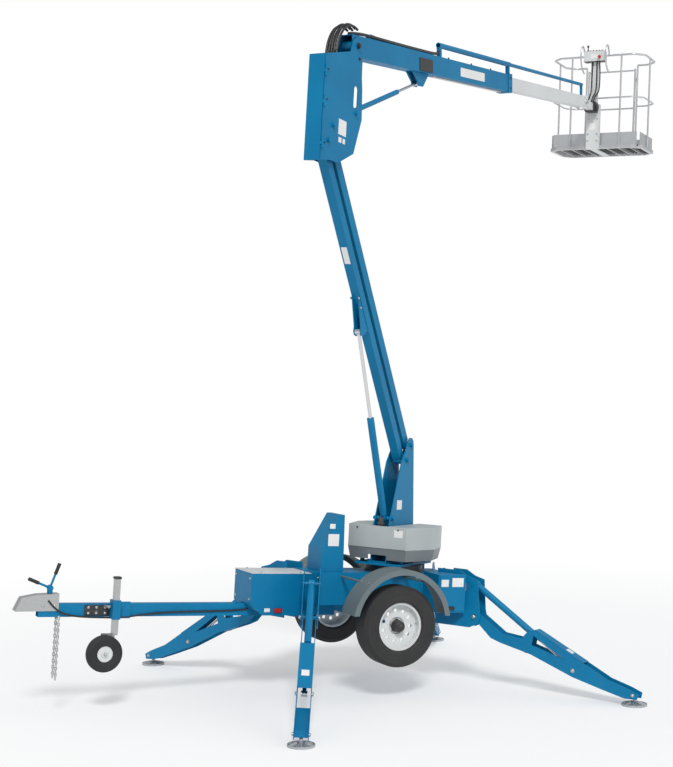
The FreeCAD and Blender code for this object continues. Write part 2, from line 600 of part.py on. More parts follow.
def riser():
    """Two upright side plates with a rear web and the pins of both arms and of the lift cylinder."""
    base = d.spine_top + d.ring_height + 2 * d.seat_gap + d.deck_thick
    outline = [(-430 + 110, base), (240, base), (205, 1400), (128, 2060), (118, 2110), (85, 2138), (40, 2138),
               (5, 2110), (-20, 2040), (-60, 1985), (-105, 1925), (-290, base + 330)]
    cheeks = []
    for side in (-1, 1):
        cheeks.append(plate(f"riser_{'near' if side < 0 else 'far'}", "XZ", [outline], "riser_wall",
                            f"{side} * (riser_half + riser_wall / 2)"))
    start, span = "-(riser_half + riser_wall + 8)", "2 * (riser_half + riser_wall + 8)"
    pins = [bar("arm_pin", ("arm_foot_b", start, "arm_foot_z"), "pin_radius", span, "y"),
            bar("link_pin", ("link_foot_b", start, "link_foot_z"), "pin_radius", span, "y"),
            bar("lift_pin", ("lift_base_b", start, "lift_base_z"), "pin_radius", span, "y")]
    web = block("riser_web", (130, "-riser_half - 1", base), (10, "2 * riser_half + 2", 700))
    foot = block("riser_foot", (-300, "-riser_half - riser_wall - 30", base), (530, "2 * (riser_half + riser_wall + 30)", 12))
    return join("riser_joined", cheeks + pins + [web, foot])


# ---------------------------------------------------------------- arms and cylinders
def eye(name, x, z, radius, half, bore):
    """A drilled boss across Y."""
    boss = bar(name + "_boss", (x, f"-({half})", z), radius, f"2 * ({half})", "y")
    hole = bar(name + "_hole", (x, f"-({half}) - 1", z), bore, f"2 * ({half}) + 2", "y")
    return boss, hole


def arm_body(name, depth, extras=()):
    """A rectangular tube between two drilled bosses."""
    shell = tube(name + "_tube", 30, "arm_length - 60", "arm_width", depth, "arm_wall")
    holes, solids = [], [shell] + list(extras)
    for place, x in (("foot", 0), ("head", "arm_length")):
        boss, hole = eye(f"{name}_{place}", x, 0, "arm_depth / 2", "arm_width / 2", "pin_radius + pin_play")
        solids.append(boss)
        holes.append(hole)
    return cut(name + "_drilled", join(name + "_solid", solids), gather(name + "_holes", holes))


def lower_arm():
    """Front arm, with the ears for the lift cylinder's rod under it."""
    ears = []
    x, z = d.lift_eye_x, d.lift_eye_z
    outline = [(x + 320, d.arm_depth / 2 - 2), (x - 50, d.arm_depth / 2 - 2), (x - 40, z + 10), (x - 12, z + 30),
               (x + 20, z + 28), (x + 45, z)]
    for side in (-1, 1):
        ears.append(plate(f"lift_ear_{'near' if side < 0 else 'far'}", "XZ", [outline], "ear_wall",
                          f"{side} * (eye_half + eye_gap + ear_wall / 2)"))
    return arm_body("lower_arm", "arm_depth", ears)


def ram_barrel(name, length, radius, rod_radius, pin):
    """Cylinder barrel: a tube with a closed base and a drilled boss on its pin."""
    outer = bar(name + "_outer", (30, 0, 0), radius, f"{length} - 30", "x")
    bore = bar(name + "_bore", (70, 0, 0), f"{rod_radius} + slide_gap", f"{length} - 69", "x")
    boss, hole = eye(name, 0, 0, f"{pin} + 16", "eye_half", f"{pin} + pin_play")
    return cut(name + "_drilled", join(name + "_solid", [outer, boss]), gather(name + "_holes", [bore, hole]))


def ram_rod(name, length, radius, eye_radius):
    """Cylinder rod, drawn back from the centre of its eye, which carries its own pin."""
    shaft = bar(name + "_shaft", (f"-({length})", 0, 0), radius, length, "x")
    head = bar(name + "_head", (0, "-eye_half", 0), eye_radius, "2 * eye_half", "y")
    return join(name + "_joined", [shaft, head])


# ---------------------------------------------------------------- elbow
def elbow_frame():
    """Two side plates tied by their pins and a web, with the hinge knuckles of the door."""
    front, low, high = d.elbow_front, d.elbow_low, d.elbow_high
    outline = [(front, low), (50, low + 28), (183, -142), (436, -22), (549, 270), (531, 504), (512, 600),
               (505, 780), (470, 870), (400, 895), (335, 860), (295, 755), (front, high)]
    plates = []
    for side in (-1, 1):
        plates.append(plate(f"elbow_{'near' if side < 0 else 'far'}", "XZ", [outline], "elbow_wall",
                            f"{side} * (elbow_half - elbow_wall / 2)"))
    start, span = "-(elbow_half + 6)", "2 * (elbow_half + 6)"
    gap_b, gap_z = d.link_foot_b - d.arm_foot_b, d.link_foot_z - d.arm_foot_z
    pins = [bar("elbow_pin_arm", (0, start, 0), "pin_radius", span, "y"),
            bar("elbow_pin_link", (gap_b, start, gap_z), "pin_radius", span, "y"),
            bar("elbow_pin_ram", ("boom_base_b", start, "boom_base_z"), "pin_radius", span, "y"),
            bar("elbow_pin_boom", ("boom_pivot_b", start, "boom_pivot_z"), "pin_radius", span, "y")]
    web = block("elbow_web", (40, "-elbow_half + 1", 420), (6, "2 * elbow_half - 2", 200))
    slots = []
    for name, z in (("low", 360), ("high", 480)):
        slots.append(bar("elbow_slot_" + name, (420, "-elbow_half - 5", z), 30, "2 * elbow_half + 10", "y"))
    slots.append(block("elbow_slot_mid", (390, "-elbow_half - 5", 360), (60, "2 * elbow_half + 10", 120)))
    knuckles = []
    for index, z in enumerate(hinge_heights()):
        for end, shift_z in (("under", -d.hinge_length / 2), ("over", d.hinge_length / 6 + 0.5)):
            knuckles.append(bar(f"knuckle_{end}_{index}",
                                ("elbow_front + 2", "-elbow_half - hinge_radius - 0.6", z + shift_z),
                                "hinge_radius", "hinge_length / 3 - 0.5"))
            knuckles.append(block(f"knuckle_leaf_{end}_{index}",
                                  ("elbow_front + 2", "-elbow_half - hinge_radius - 0.6", z + shift_z),
                                  (14, "hinge_radius + 2", "hinge_length / 3 - 0.5")))
    body = join("elbow_joined", plates + pins + [web] + knuckles)
    return cut("elbow_slotted", body, gather("elbow_slots", slots))


def hinge_heights():
    """Heights of the three door hinges above the elbow's lower pin."""
    return (d.elbow_low + 130, (d.elbow_low + d.elbow_high) / 2 + 40, d.elbow_high - 130)


def elbow_door():
    """Front door with the middle knuckle of each hinge."""
    panel = block("door_panel", ("elbow_front - door_gap - elbow_wall", "-elbow_half + 4 * door_gap", "elbow_low"),
                  ("elbow_wall", "2 * elbow_half - 5 * door_gap", "elbow_high - elbow_low"))
    pieces = [panel]
    for index, z in enumerate(hinge_heights()):
        pieces.append(bar(f"door_knuckle_{index}", ("elbow_front + 2", "-elbow_half - hinge_radius - 0.6",
                                                   f"{z} - hinge_length / 6 + 0.25"),
                          "hinge_radius", "hinge_length / 3 - 0.5"))
        pieces.append(block(f"door_leaf_{index}",
                            ("elbow_front - door_gap - elbow_wall", "-elbow_half - hinge_radius - 0.6",
                             f"{z} - hinge_length / 6 + 0.25"),
                            ("door_gap + elbow_wall - 0.5", "hinge_radius + 14", "hinge_length / 3 - 0.5")))
    return join("door_joined", pieces)


# ---------------------------------------------------------------- upper boom
def boom_tube():
    """Outer boom tube on a drilled root boss, with the rod's ears below and wear pads in its mouth."""
    shell = tube("boom_shell", "-boom_root", "boom_length + boom_root", "boom_width", "boom_depth", "boom_wall")
    boss, hole = eye("boom_root_eye", 0, 0, 45, "boom_width / 2", "pin_radius + pin_play")
    x, z, low = d.boom_eye_x, d.boom_eye_z, -d.boom_depth / 2
    outline = [(x - 170, low + 2), (x + 190, low + 2), (x + 60, z - 28), (x - 40, z - 28), (x - 60, z + 10)]
    ears = []
    for side in (-1, 1):
        ears.append(plate(f"boom_ear_{'near' if side < 0 else 'far'}", "XZ", [outline], "ear_wall",
                          f"{side} * (eye_half + eye_gap + ear_wall / 2)"))
    pads = []
    for name, low_z in (("below", "-boom_depth / 2 + boom_wall - 1"), ("above", "ext_depth / 2 + slide_gap")):
        pads.append(block("wear_pad_" + name, ("boom_length - pad_length", "-ext_width / 2", low_z),
                          ("pad_length", "ext_width", "(boom_depth - ext_depth) / 2 - boom_wall - slide_gap + 1")))
    rollers = []
    return cut("boom_drilled", join("boom_joined", [shell, boss] + ears + pads + rollers), hole)


def extension_tube():
    """Inner boom tube with a forked head for the platform."""
    shell = tube("ext_shell", 0, "ext_length - 120", "ext_width", "ext_depth", "ext_wall")
    cheeks = []
    outline = [(d.ext_length - 200, -62), (d.ext_length + 10, -80), (d.ext_length + 30, 0), (d.ext_length + 10, 75),
               (d.ext_length - 200, 62)]
    for side in (-1, 1):
        cheeks.append(plate(f"head_{'near' if side < 0 else 'far'}", "XZ", [outline], "ear_wall",
                            f"{side} * (ext_width / 2 + ear_wall / 2 - 1)"))
    pin = bar("head_pin", ("platform_pivot", "-(ext_width / 2 + ear_wall + 6)", 0), "pin_radius",
              "2 * (ext_width / 2 + ear_wall + 6)", "y")
    return join("extension_joined", [shell] + cheeks + [pin])


def hose_carrier():
    """Fixed guide tube above the boom on two stands."""
    carrier = bar("carrier_tube", (1700, "-boom_width / 2 + 30", "boom_depth / 2 + 105"), 24,
                  "boom_length - 1700", "x")
    bore = bar("carrier_bore", (1690, "-boom_width / 2 + 30", "boom_depth / 2 + 105"), 18.5,
               "boom_length - 1680", "x")
    stands = [block("carrier_stand_rear", (1704, "-boom_width / 2 + 12", "boom_depth / 2 + seat_gap"), (36, 36, 90)),
              block("carrier_stand_front", ("boom_length - 60", "-boom_width / 2 + 12", "boom_depth / 2 + seat_gap"),
                    (30, 36, 90))]
    return cut("carrier_drilled", join("carrier_joined", [carrier] + stands), bore)


def hose_guide():
    """Sliding guide tube that follows the extension, in the extension's frame."""
    height = "boom_depth / 2 + 105"
    y = "-boom_width / 2 + 30"
    back = "(ext_overlap - 200)"
    long_bar = bar("guide_tube", (back, y, height), 18, f"ext_length - 150 - ({back})", "x")
    drop = bar("guide_drop", ("ext_length - 168", y, "ext_depth / 2 + seat_gap"), 16,
               f"{height} - ext_depth / 2 - seat_gap + 12")
    return join("guide_joined", [long_bar, drop])


# ---------------------------------------------------------------- platform
def bent_path(points, bend):
    """A line through the points with each corner rounded to the bend radius."""
    edges, start = [], points[0]
    for before, corner, after in zip(points, points[1:], points[2:]):
        way_in, way_out = (corner - before).normalize(), (after - corner).normalize()
        half = way_in.getAngle(way_out) / 2
        run = bend * math.tan(half)
        first, last = corner - way_in * run, corner + way_out * run
        inward = (way_out - way_in).normalize()
        mid = corner + inward * (bend / math.cos(half) - bend)
        edges += [Part.makeLine(start, first), Part.Arc(first, mid, last).toShape()]
        start = last
    edges.append(Part.makeLine(start, points[-1]))
    return Part.Wire(edges)


def rail_loop(z, radius):
    """A bent tube round the platform with cut corners, open at the gate on the far side."""
    near, far, half, corner = d.floor_near, d.floor_near + d.floor_deep, d.floor_wide / 2, d.rail_corner
    gate = d.gate_half + d.gate_gap + d.rail_radius
    inset = d.rail_radius + 2
    near, far, half = near + inset, far - inset, half - inset
    corners = [(far, gate), (far, half - corner), (far - corner, half), (near + corner, half), (near, half - corner),
               (near, -half + corner), (near + corner, -half), (far - corner, -half), (far, -half + corner), (far, -gate)]
    points = [Vector(x, y, z) for x, y in corners]
    circle = Part.Wire(Part.makeCircle(radius, points[0], points[1] - points[0]))
    return bent_path(points, d.rail_bend).makePipeShell([circle], True, False)


def platform_rails():
    """Top and middle rails on upright posts, with the gate's two hinge lugs."""
    item = doc.addObject("Part::Feature", "rails")
    base = -d.floor_drop
    shape = rail_loop(base + d.rail_height, d.rail_radius)
    shape = shape.fuse(rail_loop(base + d.mid_rail, d.rail_radius * 0.8))
    inset = d.rail_radius + 2
    near, far, half = d.floor_near + inset, d.floor_near + d.floor_deep - inset, d.floor_wide / 2 - inset
    gate = d.gate_half + d.gate_gap + d.rail_radius
    posts = [(near, 300), (near, -300), ((near + far) / 2, half), ((near + far) / 2, -half), (far, gate), (far, -gate)]
    low = base + d.seat_gap
    for x, y in posts:
        shape = shape.fuse(Part.makeCylinder(d.post_radius, d.rail_height - d.seat_gap, Vector(x, y, low)))
    for z in (base + 180, base + d.rail_height - 200):
        lug = Part.makeBox(14, d.rail_radius + d.gate_gap - d.seat_gap, 50, Vector(far - 7, -gate, z))
        shape = shape.fuse(lug)
    item.Shape = shape.removeSplitter()
    return item


def platform_floor():
    """Floor ring with cut corners and cross ribs, open through for the grating."""
    def outline(inset):
        near, far = d.floor_near + inset, d.floor_near + d.floor_deep - inset
        half, corner = d.floor_wide / 2 - inset, d.rail_corner - inset * (2 - math.sqrt(2))
        return [(near + corner, -half), (far - corner, -half), (far, -half + corner), (far, half - corner),
                (far - corner, half), (near + corner, half), (near, half - corner), (near, -half + corner)]
    ring = plate("floor_ring_plate", "XY", [outline(0), outline(d.floor_ring)], "floor_thick",
                 "-floor_drop - floor_thick / 2")
    ribs = []
    for index in range(1, 8):
        ribs.append(block(f"floor_rib_{index}", ("floor_near + floor_ring - 1",
                                                 f"-floor_wide / 2 + floor_wide * {index} / 8 - 5",
                                                 "-floor_drop - floor_thick + 3"),
                          ("floor_deep - 2 * floor_ring + 2", 10, "floor_thick - 5")))
    return join("floor_joined", [ring] + ribs)


def toe_boards():
    """Sheet toe boards on the two ends, the near side and both sides of the gate."""
    inset = "(2 * rail_radius + 6)"
    low = "-floor_drop + seat_gap"
    boards = []
    run_x = f"floor_deep - 2 * {inset} - 60"
    for name, y in (("left", f"-floor_wide / 2 + {inset}"), ("right", f"floor_wide / 2 - {inset} - toe_wall")):
        boards.append(block("toe_" + name, (f"floor_near + {inset} + 30", y, low), (run_x, "toe_wall", "toe_height")))
    boards.append(block("toe_near", (f"floor_near + {inset}", f"-floor_wide / 2 + {inset} + 30", low),
                        ("toe_wall", f"floor_wide - 2 * {inset} - 60", "toe_height")))
    for name, low_y in (("gate_left", f"-floor_wide / 2 + {inset} + 30"),
                        ("gate_right", "gate_half + gate_gap + 2 * rail_radius + 4")):
        boards.append(block("toe_" + name, (f"floor_near + floor_deep - {inset} - toe_wall", low_y, low),
                            ("toe_wall", f"floor_wide / 2 - gate_half - gate_gap - 2 * rail_radius - 4 - {inset} - 30",
                             "toe_height")))
    return gather("toe_boards_all", boards)


def platform_mount():
    """Level bracket on the boom's head and the upright post that carries the floor."""
    boss, hole = eye("mount_eye", 0, 0, 40, "ext_width / 2 - ear_wall", "pin_radius + pin_play")
    arm = block("mount_arm", (20, "-ext_width / 2 + ear_wall", -40), ("floor_near - 70", "ext_width - 2 * ear_wall", 80))
    low = "-floor_drop - floor_thick - shelf_thick"
    post = block("mount_post", ("floor_near - 70", "-post_half", low),
                 (64, "2 * post_half", "floor_drop + floor_thick + shelf_thick + 50"))
    shelf = block("mount_shelf", ("floor_near - 70", "-shelf_half", low),
                  ("floor_deep - 60", "2 * shelf_half", "shelf_thick - seat_gap"))
    return cut("mount_drilled", join("mount_joined", [boss, arm, post, shelf]), hole)


def control_box():
    """Operator's console on a stand at the near rail."""
    stand = block("console_stand", ("floor_near - 60", -45, "50 + seat_gap"), (30, 90, "rail_height - floor_drop - 130"))
    case = block("console_case", ("floor_near - 104", -125, "rail_height - floor_drop - 80 + seat_gap"), (100, 250, 120))
    return join("console_joined", [stand, case])


def platform_gate():
    """Swing gate between the two gate posts; its near upright turns in the posts' lugs."""
    foot, length = "-floor_drop + 60", "rail_height - 100"
    face = "(floor_near + floor_deep - rail_radius - 2)"
    pieces = []
    for name, y in (("hinge", "-(gate_half - 12)"), ("latch", "gate_half - 12")):
        pieces.append(bar("gate_upright_" + name, (face, y, foot), 12, length))
    for name, z in (("low", 20), ("mid", "(rail_height - 100) / 2"), ("top", "rail_height - 120")):
        pieces.append(bar("gate_bar_" + name, (face, "-(gate_half - 12)", f"{foot} + {z}"), 10,
                          "2 * (gate_half - 12)", "y"))
    return join("gate_joined", pieces)


# ---------------------------------------------------------------- outriggers
def outrigger_leg(label):
    """Two side plates with flanged windows, a bottom web and the foot's socket."""
    outline = [(0, 32), (37, 40), (115, 20), (277, -24), (458, 15), (483, 81), (539, 129), (1027, 66), (1257, 35),
               (1440, 44), (1530, 40), (1538, -6), (1440, -43), (1240, -62), (979, -82), (580, -72), (293, -102),
               (202, -103), (54, -40), (10, -34), (-34, 0)]
    window = [(545, 84), (560, 4), (850, 20)]
    plates = []
    for side in (-1, 1):
        plates.append(plate(f"leg_{label}_{'near' if side < 0 else 'far'}", "XZ",
                            [outline, window, (0, 0, d.leg_pin_radius + d.pin_play)], "leg_wall",
                            f"{side} * (leg_half - leg_wall / 2)"))
    spacer = block(f"leg_web_{label}", (300, "-leg_half + 1", -80), (240, "2 * leg_half - 2", 6))
    tail = block(f"leg_tail_{label}", (1130, "-leg_half + 1", -40), (310, "2 * leg_half - 2", 6))
    bridge = block(f"leg_bridge_{label}", ("leg_length - 40", "-leg_half + 1", 5), (70, "2 * leg_half - 2", 8))
    socket = doc.addObject("Part::Sphere", f"leg_ball_{label}")
    bind(socket, "Radius", "ball_stem")
    bind(socket, "Placement.Base.x", "leg_length")
    return join(f"leg_{label}_joined", plates + [spacer, tail, bridge, socket])


def foot_pad(label):
    """Round steel foot with a raised hub, flat on the ground."""
    item = doc.addObject("Part::Feature", f"foot_{label}")
    top = d.foot_height - d.ball_stem - d.seat_gap
    profile = [(0, 0), (d.foot_radius, 0), (d.foot_radius, 6), (d.foot_radius - 22, 12), (34, 22), (14, 30), (14, top),
               (0, top)]
    corners = [Vector(radius, 0, z) for radius, z in profile]
    item.Shape = Part.Face(Part.makePolygon(corners + corners[:1])).revolve(Vector(), Vector(0, 0, 1), 360)
    return item


# ---------------------------------------------------------------- assembly
def build_all():
    """Build each piece once and stand it in its frame."""
    node("chassis_frame", chassis_frame(), spine_frame())
    node("tongue", tongue(), MACHINE * shift(0, 0, d.tongue_low + d.tongue_depth / 2))
    for label, maker in (("front_box", front_box), ("boom_rest", boom_rest), ("coupler", coupler),
                         ("coupler_handle", coupler_handle), ("safety_chains", safety_chains),
                         ("cabinets", cabinets), ("batteries", batteries), ("axle", axle), ("fenders", fenders),
                         ("slew_bearing", slew_bearing), ("outrigger_brackets", outrigger_brackets)):
        node(label, maker(), MACHINE)
    for name, side in (("left", -1), ("right", 1)):
        frame = wheel_frame(side)
        if side > 0:
            frame = frame * Placement(Vector(), Rotation(Vector(0, 0, 1), 180))
        node("rim_" + name, rim(name), frame)
        node("tyre_" + name, turned("tyre_turned_" + name, [tyre_loop()]), frame)
    jack = MACHINE * shift(d.jack_x, d.jack_y, 0)
    upright, fork = jockey_parts()
    node("jack_tube", upright, jack)
    node("jockey_fork", fork, jack)
    jockey_tyre, jockey_rim = jockey_loops()
    wheel = jack * shift(-d.jockey_trail, 0, d.jockey_height)
    node("jockey_tyre", turned("jockey_tyre_turned", [jockey_tyre]), wheel)
    node("jockey_rim", turned("jockey_rim_turned", [jockey_rim]), wheel)
    for label, maker in (("turntable_deck", turntable_deck), ("turntable_cover", turntable_cover), ("riser", riser)):
        node(label, maker(), TURN)
    node("lower_arm", lower_arm(), ARM)
    node("link_arm", arm_body("link_arm", "link_depth"), LINK)
    node("lift_barrel", ram_barrel("lift_barrel", "lift_barrel_length", "lift_barrel_radius", "lift_rod_radius",
                                   "pin_radius"), LIFT)
    node("lift_rod", ram_rod("lift_rod", "lift_rod_length", "lift_rod_radius", 26), LIFT * shift(lift_span))
    node("elbow_frame", elbow_frame(), ELBOW)
    node("elbow_door", elbow_door(), ELBOW)
    node("boom_tube", boom_tube(), BOOM)
    node("hose_carrier", hose_carrier(), BOOM)
    node("boom_barrel", ram_barrel("boom_barrel", "boom_barrel_length", "boom_barrel_radius", "boom_rod_radius",
                                   "pin_radius"), BOOM_RAM)
    node("boom_rod", ram_rod("boom_rod", "boom_rod_length", "boom_rod_radius", "boom_eye_radius"),
         BOOM_RAM * shift(boom_span))
    node("extension_tube", extension_tube(), EXTENSION)
    node("hose_guide", hose_guide(), EXTENSION)
    for label, maker in (("platform_mount", platform_mount), ("platform_floor", platform_floor),
                         ("platform_rails", platform_rails), ("toe_boards", toe_boards),
                         ("control_box", control_box), ("platform_gate", platform_gate)):
        node(label, maker(), PLATFORM)
    base = Vector(-d.leg_base_back, 0, d.leg_base_up)
    for label, (side_x, side_y) in LEGS.items():
        frame, drop, _plan = leg_frame(side_x, side_y)
        level = frame * pitch_up(drop)
        tip = pitch_up(-drop).multVec(Vector(d.leg_eye_x, 0, d.leg_eye_z))
        node("leg_" + label, outrigger_leg(label), frame)
        ram = level * pointed(base, tip)
        node("leg_barrel_" + label, ram_barrel("leg_barrel_" + label, "leg_barrel_length", "leg_barrel_radius",
                                               "leg_rod_radius", "leg_pin_radius"), ram)
        node("leg_rod_" + label, ram_rod("leg_rod_" + label, "leg_rod_length", "leg_rod_radius", 24),
             ram * shift((tip - base).Length))
        ball = frame.multVec(Vector(d.leg_length, 0, 0))
        node("foot_" + label, foot_pad(label), Placement(Vector(ball.x, ball.y, 0), Rotation()))


def check_all():
    """Stop on anything that did not compute, or that is empty or broken."""
    for item in doc.Objects:
        if "Invalid" in item.State or "Error" in item.State:
            raise RuntimeError(f"{item.Name} failed: {item.State}")
    for label, (item, _frame) in nodes.items():
        if item.Shape.isNull() or not item.Shape.isValid() or not item.Shape.Solids:
            raise RuntimeError(f"{label} has no valid solid")


def centre_shift():
    """The move that brings the whole machine's box to be centred on the origin and to stand on z = 0."""
    box = FreeCAD.BoundBox()
    for item, frame in nodes.values():
        moved = item.Shape.copy()
        moved.Placement = frame
        box.add(moved.BoundBox)
    return shift(-box.Center.x, -box.Center.y, -box.ZMin)


build_all()
doc.recompute()
check_all()
ORIGIN = centre_shift()
for label, (item, frame) in nodes.items():
    item.Placement = ORIGIN * frame
doc.recompute()
check_all()
os.makedirs("parts", exist_ok=True)
for label, (item, _frame) in nodes.items():
    item.Shape.exportStep(f"parts/{label}.step")
print(f"{len(nodes)} nodes written")
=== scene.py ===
"""Looks of a trailer-mounted boom lift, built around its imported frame.

Every length is in metres. Pieces are drawn in the frame of the body they ride on: the machine's
frame has +X to the rear, +Y to the right-hand side and +Z up; arms and legs run along their +X.
"""
import json
import logging
import math
from dataclasses import dataclass
from enum import Enum
from typing import Any, Callable, Iterable, Optional, Sequence

import bmesh
import bpy
from mathutils import Matrix, Vector


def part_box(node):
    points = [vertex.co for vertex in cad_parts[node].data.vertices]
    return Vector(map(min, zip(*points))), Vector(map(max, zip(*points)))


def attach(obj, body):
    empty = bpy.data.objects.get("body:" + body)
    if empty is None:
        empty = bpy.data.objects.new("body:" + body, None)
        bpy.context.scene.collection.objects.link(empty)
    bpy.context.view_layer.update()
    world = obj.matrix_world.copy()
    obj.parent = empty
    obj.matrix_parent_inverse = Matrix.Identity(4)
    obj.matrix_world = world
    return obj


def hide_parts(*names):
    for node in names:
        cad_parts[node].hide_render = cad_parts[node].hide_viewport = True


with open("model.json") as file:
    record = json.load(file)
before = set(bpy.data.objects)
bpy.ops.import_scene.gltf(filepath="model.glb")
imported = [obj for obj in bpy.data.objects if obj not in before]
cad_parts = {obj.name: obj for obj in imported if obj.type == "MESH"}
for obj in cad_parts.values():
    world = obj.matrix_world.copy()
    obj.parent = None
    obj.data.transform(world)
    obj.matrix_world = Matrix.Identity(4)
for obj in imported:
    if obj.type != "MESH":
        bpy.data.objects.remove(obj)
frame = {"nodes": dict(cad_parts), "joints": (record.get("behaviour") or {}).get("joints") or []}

logging.basicConfig(level=logging.INFO, format="%(message)s")
LOG = logging.getLogger("boom_lift")
Colour = tuple[float, float, float]
Point = Sequence[float]


# ------------------------------------------------------------------ shader tools
class Value:
    """A number socket that can be used in ordinary arithmetic."""

    def __init__(self, graph: "Graph", socket: Any) -> None:
        """Hold the socket and the graph it lives in."""
        self.graph = graph
        self.socket = socket

    def _math(self, operation: str, first: Any, second: Any) -> "Value":
        """Add one Math node on two numbers or sockets."""
        made = self.graph.add("ShaderNodeMath", {"operation": operation}, {0: first, 1: second})
        return Value(self.graph, made.outputs[0])

    def __add__(self, other: Any) -> "Value":
        """Sum."""
        return self._math("ADD", self, other)

    __radd__ = __add__

    def __mul__(self, other: Any) -> "Value":
        """Product."""
        return self._math("MULTIPLY", self, other)

    __rmul__ = __mul__

    def __rsub__(self, other: Any) -> "Value":
        """Difference with the socket taken away."""
        return self._math("SUBTRACT", other, self)

    def between(self, low: float, high: float) -> "Value":
        """Zero at low, one at high, straight between and clamped."""
        made = self.graph.add("ShaderNodeMapRange", {"clamp": True},
                              {"Value": self, "From Min": low, "From Max": high})
        return Value(self.graph, made.outputs[0])


class Graph:
    """Builder of one material's node tree."""

    def __init__(self, name: str) -> None:
        """Start an empty material with a surface shader and its output."""
        self.material = bpy.data.materials.new(name)
        self.material.use_nodes = True
        self.nodes = self.material.node_tree.nodes
        self.links = self.material.node_tree.links
        self.nodes.clear()
        self.shader = self.add("ShaderNodeBsdfPrincipled")
        self.output = self.add("ShaderNodeOutputMaterial")
        self.links.new(self.shader.outputs[0], self.output.inputs["Surface"])
        self.place = self.add("ShaderNodeTexCoord").outputs["Object"]

    def add(self, kind: str, settings: Optional[dict] = None, values: Optional[dict] = None) -> Any:
        """Add any node.

        Args:
            kind: the node's type name.
            settings: its properties, set before its sockets.
            values: numbers, colours, sockets or Values for its inputs, by name or index.

        Returns:
            The node.
        """
        made = self.nodes.new(kind)
        for key, setting in (settings or {}).items():
            setattr(made, key, setting)
        for key, given in (values or {}).items():
            self.feed(made.inputs[key], given)
        return made

    def feed(self, socket: Any, given: Any) -> None:
        """Link or set one input socket."""
        if isinstance(given, Value):
            given = given.socket
        if isinstance(given, bpy.types.NodeSocket):
            self.links.new(given, socket)
        else:
            socket.default_value = given

    def noise(self, scale: float, detail: float = 3.0, stretch: Point = (1, 1, 1)) -> Value:
        """A noise number over object space, about 0.5 on average."""
        place = self.place
        if tuple(stretch) != (1, 1, 1):
            place = self.add("ShaderNodeMapping", {}, {"Vector": place, "Scale": stretch}).outputs[0]
        made = self.add("ShaderNodeTexNoise", {}, {"Vector": place, "Scale": scale, "Detail": detail})
        return Value(self, made.outputs["Fac"])

    def height(self) -> Value:
        """The height above the ground."""
        return Value(self, self.add("ShaderNodeSeparateXYZ", {}, {0: self.place}).outputs["Z"])

    def blend(self, amount: Any, first: Any, second: Any) -> Any:
        """A colour between two colours."""
        made = self.add("ShaderNodeMix", {"data_type": "RGBA"}, {0: amount})
        for socket, given in ((made.inputs[6], first), (made.inputs[7], second)):
            self.feed(socket, (*given, 1.0) if isinstance(given, tuple) and len(given) == 3 else given)
        return made.outputs[2]

    def bump(self, height: Value, depth: float, strength: float = 1.0) -> None:
        """Raise the surface by a height pattern of a real depth."""
        made = self.add("ShaderNodeBump", {}, {"Height": height, "Distance": depth, "Strength": strength})
        self.feed(self.shader.inputs["Normal"], made.outputs[0])

    def surface(self, **values: Any) -> bpy.types.Material:
        """Feed the surface shader by socket name, with _ for a space."""
        for key, given in values.items():
            self.feed(self.shader.inputs[key.replace("_", " ")], given)
        return self.material


# ------------------------------------------------------------------ finishes
LOOK = "look_"  # before a finish's name, because the frame's own materials already use some of the names


@dataclass(frozen=True)
class Paint:
    """Sprayed paint: a little uneven, orange-peeled, dusty low down and rubbed in places."""

    name: str
    colour: Colour
    shade: Colour
    roughness: float = 0.3
    coat: float = 0.35
    dust: Colour = (0.30, 0.28, 0.25)
    dust_amount: float = 0.22
    specular: float = 0.5

    def build(self) -> bpy.types.Material:
        """Make the material."""
        g = Graph(LOOK + self.name)
        cloud = g.noise(2.2, 4).between(0.35, 0.7)
        body = g.blend(cloud * 0.55, self.colour, self.shade)
        speck = g.noise(38, 5).between(0.56, 0.78)
        low = 1 - g.height().between(0.15, 1.3)
        dusty = speck * (low * 0.8 + 0.2) * self.dust_amount * 2
        streak = g.noise(9, 4, (1, 1, 0.12)).between(0.58, 0.75) * self.dust_amount * 0.6
        colour = g.blend(dusty + streak, body, self.dust)
        g.bump(g.noise(420, 2) * 0.7 + g.noise(60, 2) * 0.3, 0.0006, 0.35)
        return g.surface(Base_Color=colour, Coat_Weight=self.coat, Coat_Roughness=0.12,
                         Roughness=self.roughness + (dusty * 0.5) + (g.noise(14, 3) * 0.12),
                         Specular_IOR_Level=self.specular)


@dataclass(frozen=True)
class Metal:
    """Bare or plated metal with drawn lines or crystal spangle."""

    name: str
    colour: Colour
    shade: Colour
    roughness: float = 0.34
    metallic: float = 0.9
    spangle: float = 0.0
    grain: Point = (1, 1, 22)

    def build(self) -> bpy.types.Material:
        """Make the material."""
        g = Graph(LOOK + self.name)
        lines = g.noise(45, 4, self.grain)
        mask = lines.between(0.3, 0.75)
        if self.spangle:
            cells = g.add("ShaderNodeTexVoronoi", {}, {"Vector": g.place, "Scale": 70.0})
            crystal = Value(g, g.add("ShaderNodeSeparateColor", {}, {0: cells.outputs["Color"]}).outputs[0])
            mask = mask * (1 - self.spangle) + crystal * self.spangle
        stain = g.noise(5, 5).between(0.5, 0.85)
        g.bump(lines, 0.0004, 0.25)
        return g.surface(Base_Color=g.blend(stain * 0.4, g.blend(mask, self.colour, self.shade), self.shade),
                         Metallic=self.metallic, Roughness=self.roughness + mask * 0.14 + stain * 0.1)


